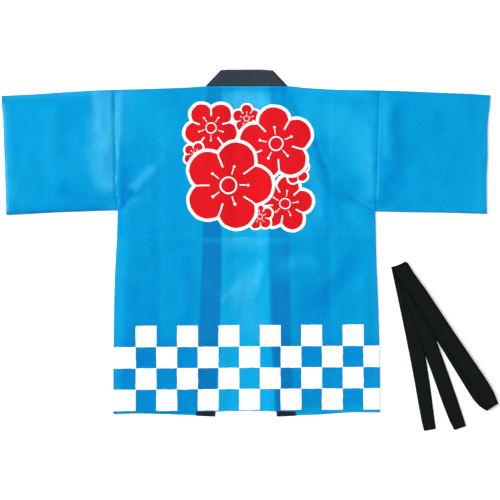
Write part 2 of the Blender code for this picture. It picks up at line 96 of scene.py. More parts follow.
SIDE_LEFT = table(Row, 2, [
    (-306.8, -755), (-307, -658), (-305.9, -561), (-304.8, -492), (-302.7, -423), (-300.8, -389),
    (-298.5, -354), (-296.8, -284.7),
])
SIDE_RIGHT = table(Row, 2, [
    (306.4, -755), (306.1, -658), (304, -561), (301.8, -492), (298.8, -423), (296.9, -354),
    (295.7, -287.5),
])
HEM_BACK = table(Row, 2, [
    (-307, -754.3), (-290, -753.5), (-250, -752), (-190, -751), (-70, -747.5), (65, -747.5),
    (190, -750.5), (260, -748.5), (306.4, -750.5),
])
HEM_FRONT = table(Row, 2, [
    (-307, -754.5), (-278, -753), (-250, -753), (-190, -755), (-118, -758), (116, -758), (140, -757.2),
    (176, -755.6), (205, -752.8), (240, -750.5), (306.4, -750.5),
])
BANDS = table(Band, 5, [
    (-757, -116.6, -72.7, 69, 112.9), (-600, -112.2, -60.7, 58.5, 108.5),
    (-400, -103.5, -56.2, 52.7, 103.3), (-200, -98.5, -56, 54.5, 98.5), (0, -94.3, -56.5, 56.6, 93.4),
])
BAND_END_INNER = -0.7604
BAND_END_OUTER = -0.7584
NECK_SEAM = 0.00035
NECK_FREE_EDGE = table(Row, 2, [(-57.2, 37.1), (-40, 38.4), (34, 38.8), (57.6, 36.3)])
TURN_LEFT = (Vector((-0.0925, 0.00035)), Vector((-0.0572, 0.0371)))
TURN_RIGHT = (Vector((0.0919, 0.00035)), Vector((0.0576, 0.0363)))

# Folds of the upper cloth. near and far are the widths of the two sides of a fold's crest: for
# one drawn downwards they are its left and its right, for one drawn to the right its lower and
# its upper side. A negative height is a trough, and sharp folds have flat sides.
CREASES = table(Crease, 7, [
    # packing folds down and across the back
    (-205.6, -12, -201, -560, 16, 18, -0.7, 1),
    (184.7, -12, 194.5, -560, 18, 16, -0.8, 1),
    (-56, -347, 60, -347, 20, 6, -1, 0.9),
    (-215, -350, -100, -349, 12, 10, 0.8, 0.9),
    (100, -340, 260, -338, 14, 10, 0.6, 0.9),
    (-99.8, -4, -101, -46, 4, 6, 0.6, 0.5),
    # the body beside the left armhole, and the pulls out of the left underarm
    (-290, -20, -293, -150, 12, 20, 1.2, 0.3),
    (-290, -140, -292, -255, 7, 10, 1.2, 0.2),
    (-295, -272, -260, -165, 20, 20, -0.7, 0),
    (-287, -268, -205.6, -186, 22, 22, 1.2, 0.1),
    (-272, -262, -226.3, -234, 8, 8, -0.5, 0.3),
    (-282, -276, -215, -250, 14, 12, 0.7, 0.2),
    (-293, -262, -278, -284, 6, 6, 2, 0.2),
    (-288, -253, -274, -274, 6, 6, -1.2, 0.2),
    (-290, -285, -153, -331, 24, 20, 1.6, 0),
    # the long soft trough on the right, and the right underarm
    (98, -28, 132.5, -83, 12, 12, -1.2, 0.1),
    (132.5, -83, 160.1, -131, 12, 12, -1.3, 0.1),
    (160.1, -131, 176.2, -184, 12, 12, -1.3, 0.1),
    (176.2, -184, 194.6, -250, 12, 14, -1.2, 0.1),
    (210, -232, 260, -268, 24, 22, -0.8, 0),
    (240.6, -257, 289, -285, 8, 7, -1, 0.4),
    (288, -292, 192, -300, 26, 26, 0.7, 0),
    # broad swells of the lower back
    (45, -400, 22, -500, 34, 12, 1.5, 0),
    (-10, -470, -30, -545, 24, 16, 1, 0),
    (98, -405, 170, -428, 30, 26, 1.3, 0),
    (153, -490, 200, -535, 26, 26, -1, 0),
    (-274, -300, -278, -640, 24, 36, 1.4, 0),
    (270, -420, 276, -640, 30, 26, 1, 0),
    (-170, -440, -156, -540, 30, 24, -0.8, 0),
    # the left sleeve
    (-320, -18, -320, -245, 50, 18, 1.4, 0.1),
    (-437.9, -40, -433, -265, 32, 24, 0.7, 0),
    (-544, -50, -539, -285, 14, 30, 1.2, 0.1),
    (-425, -232, -356, -266, 30, 26, -1.1, 0),
    (-495, -150, -450, -220, 30, 30, -0.9, 0),
    (-325, -268, -430, -190, 22, 22, 1.4, 0),
    # the right sleeve
    (325.7, -18, 324, -215, 22, 36, 1.2, 0),
    (312, -212, 352, -258, 22, 20, -1.2, 0),
    (394.7, -180, 390, -278, 28, 44, 1.3, 0),
    (435, -40, 420, -160, 40, 30, 0.9, 0),
    (538, -60, 534, -280, 40, 12, 0.8, 0.1),
])

# Painted light and shade: where the blue is painted paler or deeper to stand for light and shade on the
# folds. near and far are as in the folds above. white is a painted highlight, the sheen of cloth that
# stands up, and depth is painted shade, how much deeper the blue is, or if negative painted light, how much
# lighter.
LIGHT_AND_SHADE_PATCHES = table(Patch, 6, [
    # the left sleeve: painted highlights at its open end and on the ridge along the armhole, and painted
    # light and shade on the cloth between them
    (-562, -45, -553, -285, 4, 8, 0.85, 0),
    (-560, -50, -553, -280, 4, 24, 0.12, 0),
    (-345.9, -14, -341.3, -97, 15, 12, 0.26, 0),
    (-329, -18, -327.5, -225, 38, 26, 0.36, -0.2),
    (-345, -85, -322.9, -129, 38, 24, 0.26, 0),
    (-364.3, -147, -336.7, -220, 26, 26, 0.14, -0.2),
    (-313.5, -18, -309, -235, 16, 6, 0.34, 0),
    (-520, -60, -515, -230, 50, 60, 0, -0.3),
    (-460, -60, -456, -200, 28, 30, 0.02, -0.35),
    (-410, -240, -360, -262, 36, 40, 0, 0.45),
    (-395, -120, -380, -200, 30, 30, 0.01, -0.3),
    (-535, -230, -520, -275, 30, 30, 0, -0.5),
    (-415, -175, -400, -195, 26, 26, 0, -0.35),
    # the body beside the left armhole, and the pulls out of the left underarm
    (-299.5, -18, -300.5, -130, 6, 7, 0.42, 0),
    (-291.5, -14, -293.5, -112, 8, 10, 0.4, 0),
    (-294.5, -120, -297.5, -160, 6, 7, 0.36, 0),
    (-299, -130, -300, -218, 3, 4, 0.46, 0),
    (-301.2, -205, -299, -250, 1, 2, 0.45, 0),
    (-288, -15, -292, -110, 8, 50, 0.08, -0.35),
    (-240, -50, -210, -120, 60, 80, 0, -0.55),
    (-258, -232, -216, -194, 13, 20, 0.24, -0.6),
    (-225, -200, -195, -165, 14, 18, 0.07, -0.2),
    (-280, -262, -260, -240, 8, 10, 0, 0.4),
    (-268, -195, -279, -240, 22, 30, 0, 0.6),
    (-285, -240, -288, -270, 10, 20, 0, 0.75),
    (-292, -275, -256, -232, 3, 4, 0, 0.6),
    (-274, -242, -224, -218, 5, 5, 0, 0.35),
    (-292.5, -283, -276, -262, 4, 4, 0, 0.9),
    (-288, -290, -264, -262, 3, 6, 0.1, -0.2),
    (-296.5, -276, -293, -262, 2, 2, 0.4, 0),
    (-291, -268, -279, -258, 4, 6, 0, 1),
    (-288, -284, -274, -270, 4, 4, 0, 0.8),
    (-260, -262, -250, -262, 8, 9, 0.1, -0.3),
    (-275, -278, -225, -262, 12, 12, 0.04, -0.2),
    # the packing folds: painted light along them with painted shade to their left, and painted highlights
    # on the one across the middle
    (-196, -100, -193, -240, 6, 2, 0, 0.15),
    (-195.5, -110, -193, -545, 3, 3, 0.03, -0.25),
    (-198, -350, -196.5, -560, 60, 3, 0, 0.3),
    (190, -300, 192, -560, 50, 3, 0, 0.25),
    (192.5, -20, 194.5, -545, 2, 4, 0.02, -0.2),
    (-34, -352, 30, -352, 34, 4, 0.26, 0),
    (-54, -350, 47, -349, 12, 2, 0.2, 0),
    (30, -330, 50, -325, 20, 20, 0.15, 0),
    (-270, -345, -110, -349, 4, 4, 0, -0.2),
    (120, -342, 270, -338, 6, 3, 0.02, -0.3),
    # the folded edges under the arms and along the shoulders
    (-500, -292.5, -330, -286, 12, 22, 0, 0.8),
    (390, -284, 530, -287, 10, 30, 0, -0.3),
    (303, -264, 317, -270, 14, 13, 0, 0.6),
    (-550, -25, -350, -13, 11, 6, 0.1, -0.6),
    (108, -8, 270, -15, 18, 6, 0.02, -0.7),
    (-90, -4, 90, -4, 13, 6, 0, 0.65),
    # the rest of the back, and small corrections of the patches above
    (-298.5, -360, -301, -740, 6, 22, 0.03, -0.55),
    (-250, -480, -245, -640, 60, 60, 0, 0.42),
    (-265, -560, -265, -760, 40, 40, 0, 0.4),
    (-130, -400, -135, -560, 24, 30, 0, 0.45),
    (-165, -560, -145, -600, 40, 40, 0, 0.3),
    (-130, -360, -170, -370, 20, 20, 0, 0.25),
    (-26, -38, 30, -38, 50, 34, 0.46, 0),
    (-90.6, -5, -97.5, -34, 4, 3, 0.16, -0.3),
    (-110, -30, -120, -60, 14, 12, 0, 0.35),
    (22.1, -453.1, 34.5, -410, 10, 12, 0.22, 0),
    (20, -470, 30, -415, 10, 30, 0.12, 0),
    (-7.8, -494.5, 12.9, -450.8, 14, 14, 0.16, 0),
    (-56.1, -492.2, -24, -460, 10, 10, 0.2, 0),
    (-30.8, -480, 12.9, -427.8, 34, 26, 0.13, 0),
    (5, -460, 18, -555, 50, 40, 0.18, 0),
    (-30, -390, 0, -400, 30, 30, 0, 0.18),
    (135, -475, 150, -560, 50, 60, 0, 0.58),
    (95, -400, 150, -408, 32, 24, 0.02, -0.65),
    (185, -500, 230, -400, 40, 34, 0, 0.6),
    (255, -460, 270, -560, 44, 44, 0, -0.15),
    (298, -320, 302, -740, 16, 6, 0, -0.25),
    (165, -660, 280, -710, 80, 70, 0, -0.2),
    (-233, -700, -230, -740, 30, 30, 0, 0.25),
    (44, -615, 46, -640, 24, 18, 0, 0.35),
    (-240, -623, -222, -623, 22, 22, 0, 0.6),
    (112, -753, 308, -750, 8, 8, 0.1, -0.8),
    (130, -742, 270, -740, 14, 14, 0, -0.4),
    (-300, -675, -285, -675, 20, 20, 0, 0.25),
    (172, -240, 178, -325, 18, 10, 0, -0.38),
    (-365, -95, -364, -165, 12, 10, 0, -0.32),
    (-262, -218, -224, -198, 10, 10, 0, 0.34),
    (-228, -224, -202, -212, 12, 12, 0, -0.34),
    (-96, -1, 100, -1, 5, 5, 0, -0.5),
    (150, -40, 230, -80, 70, 50, 0.02, -0.75),
    (220, -60, 265, -110, 70, 70, 0.05, -0.95),
    (230, -150, 250, -190, 40, 40, 0.02, -0.6),
    (275.1, -101, 286.6, -170, 50, 18, 0.1, -0.5),
    (286.6, -165, 280, -245, 34, 18, 0.13, -0.75),
    (150, -180, 168, -290, 22, 18, 0.05, -0.65),
    (245, -290, 265, -330, 40, 34, 0, -0.55),
    (255, -20, 290, -65, 30, 26, 0.02, -0.55),
    (135, -330, 145, -300, 30, 30, 0.02, -0.3),
    # the long trough on the right and the pull into the right underarm
    (105, -35, 132.5, -83, 18, 14, 0, 0.55),
    (132.5, -83, 160.1, -131, 18, 12, 0, 0.55),
    (160.1, -131, 178, -184, 12, 10, 0, 0.55),
    (178, -184, 196, -253, 12, 14, 0, 0.5),
    (212, -232, 238, -250, 30, 26, 0, 0.45),
    (185, -262, 215, -290, 30, 30, 0, 0.3),
    (240.6, -257, 289, -285, 4, 4, 0, 0.6),
    (242, -253, 289, -280, 2, 4, 0.08, -0.3),
    # the right sleeve
    (304.2, -20, 300, -255, 2, 3, 0.36, 0),
    (313, -20, 318, -150, 10, 24, 0.07, -0.5),
    (348, -50, 345, -215, 24, 34, 0, 0.45),
    (318, -180, 322, -250, 12, 22, 0, 0.4),
    (325, -235, 360, -268, 30, 30, 0, 0.15),
    (548, -40, 542, -285, 26, 16, 0.01, -0.6),
    (435, -240, 520, -252, 45, 45, 0.02, -0.3),
    (355, -200, 385, -215, 30, 30, 0, 0.08),
    (395, -238, 430, -226, 22, 22, 0, -0.2),
    (430, -30, 490, -45, 30, 30, 0.02, -0.2),
])

# Where the back stands off the collar's bands, so that they show through less
LIFTS = table(Patch, 6, [
    (-130, -353, 130, -353, 12, 8, 0.8, 0),
    (78, -360, 85, -425, 46, 36, 0.6, 0),
    (-110, -20, 110, -20, 70, 30, 0.45, 0),
    (-96, -1, 100, -1, 6, 6, 0.45, 0),
    (75, -10, 80, -30, 26, 22, 0.45, 0),
    (60, -335, 98, -339, 10, 10, 0.5, 0),
    (-90, -460, -85, -475, 30, 30, 0.16, 0),
    (90, -500, 85, -520, 30, 30, 0.14, 0),
])

# The blossoms of the print, from the one that lies lowest to the one on top
FLOWERS = table(Flower, 3, [
    (88, -270, 70, 0.5), (-82, -96, 68, 0.95), (0, -74, 36, 0.3), (114, -194, 34, 0.1),
    (-118, -158, 32, 0.7), (30, -300, 34, 0.2), (68, -132, 91, 0.2), (-42, -228, 108, 0.62),
])

BELT_PITCH = 0.0015
BELT_LEVELS = [0.0006 + layer * BELT_PITCH for layer in range(4)]
BELT_TOP = Vector((0.3505, -0.4138))
BELT_INNER_TOP = Vector((0.3551, -0.4147))
BELT_END_ANGLE = math.radians(10.8)
BELT_OTHER_END_ANGLE = math.radians(20.1)
BELT_DOUBLED_ANGLE = math.radians(33.5)
BELT_END_STRIP = table(Strip, 3, [
    (0, 0, 36.1), (79, 1.8, 36), (150, 3, 36), (220, 3.4, 35.8), (267, 2.7, 34.4), (314, 1, 32.8),
    (362, -0.6, 30.2), (384.2, -0.4, 27.6),
])
BELT_OTHER_END_STRIP = table(Strip, 3, [
    (0, 0, 35.5), (120, 0.4, 35.5), (250, 0, 35.5), (335, -0.8, 35), (374, -0.9, 32.7), (396, 0, 28.7),
])
BELT_UPPER_STRIP = table(Strip, 3, [
    (0, 0, 36.1), (82, 3.4, 36.5), (192, 3.2, 36.8), (276, 4.2, 37), (332, 4.8, 37), (359, 4, 35.8),
    (388, 0, 32.5),
])
BELT_LOWER_STRIP = table(Strip, 3, [
    (388, 0, 32.5), (383, -2.1, 33.6), (372, -6.2, 35), (353, -9, 36), (326, -8.6, 36.5),
    (245, -5.9, 36.5), (100, -1.3, 36), (3.3, 2.9, 35.5),
])
BELT_TOP_RADIUS = (BELT_LEVELS[3] - BELT_LEVELS[0]) / 2
BELT_SMALL_RADIUS = BELT_PITCH / 2

# Heights of the middle of the cloth, and how far it takes to rise and to reach a folded edge
ON_FRONT = 0.0018
ON_BAND = 0.0024
COLLAR_LOWER = 0.0008
COLLAR_UPPER = 0.0027
COLLAR_FOLD_RADIUS = (COLLAR_UPPER - COLLAR_LOWER) / 2
BAND_RISE = 0.034
FOLD_REACH = 0.026
NECK_REACH = 0.026
UNDERARM_TURN = 0.020
SEAM_GAP = 0.0002
TURN_STEPS = 6
TURN_SHARPEST = math.radians(50)
HEM_SHOWING = 0.014
NECK_HALF = 0.0943
NECK_CORNER = 0.100
NECK_FLAT = 0.002
NECK_TURN = 0.016
NECK_SAG_OUTER = 0.057
NECK_SAG_INNER = 0.025

# What the rows of cells divide: the body above and below the armpit, and the sleeve
BODY_ABOVE = 0.285
BODY_BELOW = 0.465
SLEEVE_DEPTH = 0.28
SLEEVE_LENGTH = 0.255
SLEEVE_TURN_CELLS = 8
SLEEVE_UNDER_CELLS = 24

# Heights at which the ends of those rows look up their edges
GUIDE_TOP = -0.008
GUIDE_SLEEVE_TOP = -0.015
GUIDE_ARMPIT = -0.286
GUIDE_HEM = -0.752
ARMPIT_XS = (-0.297, 0.296)

# The collar's front band and folds, and the belt: where they end and how many steps they take
BAND_BOTTOM = -0.757
BAND_TOP = -0.030
BAND_STATIONS = 60
NECK_FOLD_STEPS = 8
BELT_FOLD_STEPS = 10
BELT_CELL = 0.006

# The check band of the print: its left column line, its top, and the size of a check
CHECK_LEFT = -0.2553
CHECK_TOP = -0.5499
CHECK_WIDTH = 0.04763
CHECK_HEIGHT = 0.0489
CHECK_ROWS = 4
CHECK_TILT = math.radians(0.37)

# A blossom's parts, in parts of its size, and the angle of one petal
PETAL_RADIUS = 0.46
HEART_RADIUS = 0.40
RING_RADIUS = 0.17
STAMEN_START = 0.24
STAMEN_END = 0.38
TIP_RADIUS = 0.42
PETAL_SECTOR = math.tau / 5

# The sewing: the length of a stitch, and how far the rows are from a seam and from the hem
STITCH_PITCH = 0.0032
SEWING_INSET = 0.0028
HEMMING_INSET = 0.0030


def number(name, description, default, unit="NONE"):
    return FloatProperty(name=name, description=description, default=default, min=0.0, unit=unit)


def metres(name, description, default):
    return number(name, description, default, "LENGTH")


def tint(name, description, default):
    return FloatVectorProperty(
        name=name, description=description, default=default, subtype="COLOR", min=0.0, max=1.0
    )


class CoatSizes(bpy.types.PropertyGroup):
    """Sizes of the cloth and its print"""

    wall: metres("Cloth", "Thickness of the blue cloth", 0.0006)
    cell: metres("Cell", "Size of one cell of the upper cloth", 0.004)
    fold_top: metres("Fold height", "Height of the cloth's middle along a folded edge", 0.0030)
    air: metres("Air", "How far the upper cloth stands off what it lies on", 0.0012)
    creasing: number("Creasing", "Strength of every fold", 1.0)
    outline: metres("Outline", "Width of the white line round the print", 0.0068)
    collar_wall: metres("Collar", "Thickness of the folded collar", 0.0015)
    belt_wall: metres("Belt", "Thickness of the belt", 0.0011)


class CoatColours(bpy.types.PropertyGroup):
    """Colours of the cloths and the print"""

    double: tint("Doubled", "Blue where two layers lie on each other", (0.0014, 0.227, 0.476))
    single: tint("Single", "Blue where one layer lies on the table", (0.0030, 0.276, 0.524))
    over_band: tint("Over the collar", "Blue with the dark collar beneath", (0.0026, 0.143, 0.370))
    # Painted sheen: a paler blue painted where a fold stands up, for its highlight
    sheen_blue: tint("Lifted", "Blue whitened where the cloth stands up in a fold", (0.0500, 0.375, 0.600))
    # Painted shade on the folds; also the deeper blue of the fronts' checks showing through the check band
    deep: tint("Deep", "Blue where the cloth is pressed on to the layer below", (0.0010, 0.155, 0.412))
    red: tint("Red", "Red of the print", (0.524, 0.0070, 0.0118))
    white: tint("White", "White of the print", (0.800, 0.805, 0.805))
    charcoal: tint("Charcoal", "The collar", (0.0245, 0.0320, 0.0440))
    black: tint("Black", "The belt", (0.0050, 0.0062, 0.0066))
    thread: tint("Thread", "Sewing thread on the collar", (0.180, 0.230, 0.290))


class StageLight(bpy.types.PropertyGroup):
    """Light, floor and camera"""

    key: number("Key", "Power of the light from the upper left", 112.0, "POWER")
    side: number("Side", "Strength of the low light from the left", 4.4)
    right: number("Right", "Power of the light on the right", 30.0, "POWER")
    low: number("Low", "Power of the light below the hem", 62.0, "POWER")
    sky: number("Sky", "Strength of the even light all round", 0.28)
    camera_height: metres("Camera height", "Height of the camera above the table", 2.719)


def eased(part):
    """0 to 1 with soft ends, held outside that range."""
    part = np.clip(part, 0.0, 1.0)
    return part * part * (3.0 - 2.0 * part)


def between(start, end, part):
    return start + (end - start) * part


def y_at(rows, x):
    return np.interp(x, [row.x for row in rows], [row.y for row in rows])


def x_at(rows, y):
    return np.interp(y, [row.y for row in rows], [row.x for row in rows])


def by_side(x, left, right):
    """Picks the left or the right value for each point."""
    return np.where(np.asarray(x) < 0, left, right)


def armhole(x, y):
    """How far the armhole seam is from the centre line, on the side of x."""
    return by_side(x, -x_at(ARMHOLE_LEFT, y), x_at(ARMHOLE_RIGHT, y))


def armpit(x):
    return by_side(x, UNDERARM_LEFT[-1].y, UNDERARM_RIGHT[0].y)


def body_side(x, y):
    return by_side(x, -x_at(SIDE_LEFT, y), x_at(SIDE_RIGHT, y))


def underarm(x):
    return by_side(x, y_at(UNDERARM_LEFT, x), y_at(UNDERARM_RIGHT, x))


def band_edge(x, y, left, right):
    """How far one edge of the collar's front band is from the centre line, on the side of x."""
    ys = [band.y for band in BANDS]
    at_left = -np.interp(y, ys, [getattr(band, left) for band in BANDS])
    at_right = np.interp(y, ys, [getattr(band, right) for band in BANDS])
    return by_side(x, at_left, at_right)


def band_inner(x, y):
    return band_edge(x, y, "left_inner", "right_inner")


def band_outer(x, y):
    return band_edge(x, y, "left_outer", "right_outer")


def collar_height(x):
    """The middle of the neck band: up on the front bands at its ends, on the table between them."""
    part = (np.abs(x) - NECK_SAG_INNER) / (NECK_SAG_OUTER - NECK_SAG_INNER)
    return between(COLLAR_LOWER, COLLAR_UPPER, np.clip(part, 0.0, 1.0))


def fold_distance(x, y):
    """How far each point of the upper cloth is from the nearest folded edge."""
    out = np.abs(x)
    top = np.where(out < NECK_CORNER, np.hypot(NECK_CORNER - out, y), y_at(TOP_EDGE, x) - y)
    pit = armpit(x)
    pit_out = by_side(x, -UNDERARM_LEFT[-1].x, UNDERARM_RIGHT[0].x)
    on_sleeve = (y > pit) & (out > armhole(x, y))
    at_side = np.where(y < pit, body_side(x, y) - out, np.hypot(pit_out - out, y - pit))
    low = np.where(on_sleeve, y - underarm(x), at_side)
    return np.maximum(np.minimum(top, low), 0.0)


def resting_height(x, y, lower):
    """The middle of the upper cloth where it lies on the table, the bands and the fronts."""
    out = np.abs(x)
    on_band = eased((out - band_inner(x, y) + BAND_RISE) / BAND_RISE)
    on_front = eased((out - band_outer(x, y)) / BAND_RISE)
    height = between(between(lower, ON_BAND, on_band), ON_FRONT, on_front)
    at_neck = eased(1.0 + y / NECK_REACH) * (1.0 - on_front)
    return np.maximum(height, between(height, collar_height(x), at_neck))


def off_line(x, y, line, wander=0.0):
    """Where each point is beside a fold or a patch: how far along it, as a part, and how far off."""
    run_x = line.x1 - line.x0
    run_y = line.y1 - line.y0
    length = math.hypot(run_x, run_y)
    along = ((x - line.x0) * run_x + (y - line.y0) * run_y) / length**2
    off = ((y - line.y0) * run_x - (x - line.x0) * run_y) / length
    beyond = (along - np.clip(along, 0.0, 1.0)) * length
    span = (line.near + line.far) / 2
    # A fold swings a little from side to side, and a patch the more the wider it is
    swing = span * 0.22 * eased(span / 0.032)
    off = off + between(0.0016, swing, wander) * np.sin(
        along * length * between(41.0, 1.3 / span, wander) + line.x0 * 90.0
    )
    width = np.where(off < 0, line.near, line.far)
    return along, np.clip(1.0 - np.hypot(off, beyond) / width, 0.0, 1.0)


def crease_height(x, y):
    """The sum of the folds that pass each point, fading across their width and at their ends."""
    total = np.zeros_like(x)
    for crease in CREASES:
        along, away = off_line(x, y, crease)
        tent = away * (1.0 - 0.35 * np.exp(-((1.0 - away) ** 2) * 40.0))
        profile = between(eased(away), tent, crease.sharp)
        ends = eased(along * 4.0 + 0.4) * eased((1.0 - along) * 4.0 + 0.4)
        total += crease.height * profile * ends
    return total


def seam_valley(x, y):
    """How far the cloth dips where it runs into the armhole seam."""
    away = np.abs(np.abs(x) - armhole(x, y)) + np.maximum(armpit(x) - y, 0.0) * 3.0
    return 0.0004 * np.clip(1.0 - away / 0.004, 0.0, 1.0) ** 2


def upper_height(x, y, sizes):
    """The middle of the upper cloth above the table."""
    lower, radius, _ = turn_sizes(sizes)
    base = resting_height(x, y, lower)
    inside = np.maximum(fold_distance(x, y) - radius, 0.0)
    near_fold = eased(1.0 - inside / FOLD_REACH)
    loose = eased((base - lower) / (ON_FRONT - lower))
    swell = np.sin(x * 31.0 + 0.8) * np.cos(y * 23.0 - 0.5) + 0.6 * np.sin(x * 67.0 - y * 41.0 + 2.0)
    crumple = np.sin(x * 143.0 + y * 57.0) * np.sin(y * 119.0 - x * 38.0 + 1.0)
    lift = sizes.air * (0.6 + 0.4 * loose + 0.22 * swell + 0.05 * crumple)
    lift = lift + crease_height(x, y) * sizes.creasing - seam_valley(x, y)
    return between(base + np.maximum(lift, 0.0), sizes.fold_top, near_fold)


def curl(strip, amount, radius):
    """How far out and how far round a point goes on cloth that turns a quarter circle."""
    bend = np.maximum(amount, 0.001) / radius
    angle = strip * bend
    return np.sin(angle) / bend, (1.0 - np.cos(angle)) / bend


def stack(*parts):
    """One array of points or values from an array for each of their numbers."""
    return np.stack(parts, axis=-1)


def cloth_object(name, points, uv, attributes, closed=False, outside_down=False):
    """A sheet of cloth from rows and columns of points, with its own map and its own values."""
    rows, columns = points.shape[:2]
    used = slice(None, -1) if closed else slice(None)
    index = np.arange(rows * columns).reshape(rows, columns)
    if closed:
        index = np.arange(rows * (columns - 1)).reshape(rows, columns - 1)
        index = np.concatenate([index, index[:, :1]], axis=1)
    here, there = slice(None, -1), slice(1, None)
    corners = [(here, here), (there, here), (there, there), (here, there)]
    if outside_down:
        corners.reverse()
    quads = stack(*(index[corner] for corner in corners)).reshape(-1, 4)
    maps = np.stack([uv[corner] for corner in corners], axis=2).reshape(-1, 2)
    places = points[:, used].reshape(-1, 3) + LAYOUT_MOVE
    mesh = bpy.data.meshes.new(name)
    mesh.from_pydata(places.tolist(), [], quads.tolist())
    mesh.uv_layers.new(name="cloth").data.foreach_set("uv", maps.ravel())
    for key, value in attributes.items():
        layer = mesh.attributes.new(name=key, type="FLOAT_VECTOR", domain="POINT")
        layer.data.foreach_set("vector", value[:, used].ravel())
    mesh.update()
    obj = bpy.data.objects.new(name, mesh)
    bpy.context.scene.collection.objects.link(obj)
    return obj


def give_wall(obj, wall, rounding=0.0):
    """Thickens a sheet, rounds its edges if asked, and leaves no modifier on it."""
    bpy.ops.object.select_all(action="DESELECT")
    bpy.context.view_layer.objects.active = obj
    obj.select_set(True)
    solidify = obj.modifiers.new("wall", "SOLIDIFY")
    solidify.thickness = wall
    solidify.offset = 0.0
    solidify.use_even_offset = True
    solidify.material_offset = 1
    solidify.material_offset_rim = 0
    bpy.ops.object.modifier_apply(modifier="wall")
    if rounding:
        bevel = obj.modifiers.new("rounding", "BEVEL")
        bevel.width = rounding
        bevel.segments = 3
        bevel.limit_method = "ANGLE"
        bevel.angle_limit = TURN_SHARPEST
        bpy.ops.object.modifier_apply(modifier="rounding")
    bpy.ops.object.shade_smooth_by_angle(angle=TURN_SHARPEST)
    obj.select_set(False)


def dress(obj, node, materials):
    """Gives a piece its materials, hangs it under the root body, and hides the solid of the given name."""
    for material in materials:
        obj.data.materials.append(material)
    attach(obj, "root")
    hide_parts(node)


def under_values(x, y):
    """What lies beneath each point: depth over the collar's band, depth over the fronts, fold distance."""
    out = np.abs(x)
    inner = out - band_inner(x, y)
    # A millimetre or so is taken off or added, and the blur at each edge of the band is set
    inner = by_side(x, (inner - 0.0012) * 0.8, (inner + 0.001) * 0.45)
    outer = band_outer(x, y) - out
    over_band = np.minimum(inner, by_side(x, outer, (outer - 0.004) * 0.6))
    return stack(over_band, inner, fold_distance(x, y))


def painted_light_and_shade(x, y):
    """How much painted highlight, painted shade and painted light the patches that lie over each point put
    on it.
    """
    white = np.zeros_like(x)
    depth = np.zeros_like(x)
    for patch in LIGHT_AND_SHADE_PATCHES:
        away = eased(off_line(x, y, patch, 1.0)[1])
        white += patch.white * away
        depth += patch.depth * away
    return stack(white, np.maximum(depth, 0.0), np.maximum(-depth, 0.0))


def band_showing(x, y):
    """How strongly a dark band beneath shows through, from 0 to 1."""
    hidden = np.zeros_like(x)
    for lift in LIFTS:
        hidden += lift.white * eased(off_line(x, y, lift, 1.0)[1])
    return np.clip(1.0 - hidden, 0.0, 1.0)


def turn_sizes(sizes):
    """The height of cloth on the table, and the radius and length of the turn at a folded edge."""
    lower = sizes.wall / 2
    radius = (sizes.fold_top - lower) / 2
    return lower, radius, radius * math.pi / 2 - SEAM_GAP / 2


def shoulder_turn(x):
    """How much of its turn the cloth makes at the shoulder: none along the neck, where it is cut."""
    return eased((np.abs(x) - NECK_HALF - NECK_FLAT) / NECK_TURN)


def side_turn(x, y):
    """How much of its turn the cloth makes at its side: none along the armhole, where it is sewn."""
    return eased((armpit(x) - y) / UNDERARM_TURN)


def body_rows(cell):
    """Fractions of the stretch above the armpit and of the one below it."""
    above = np.linspace(0.0, 1.0, int(BODY_ABOVE / cell) + 1)[:-1]
    turned = UNDERARM_TURN / BODY_BELOW
    turning = np.linspace(0.0, turned, TURN_STEPS + 1)
    straight = np.linspace(turned, 1.0, int((BODY_BELOW - UNDERARM_TURN) / cell) + 1)
    return above, np.append(turning, straight[1:])


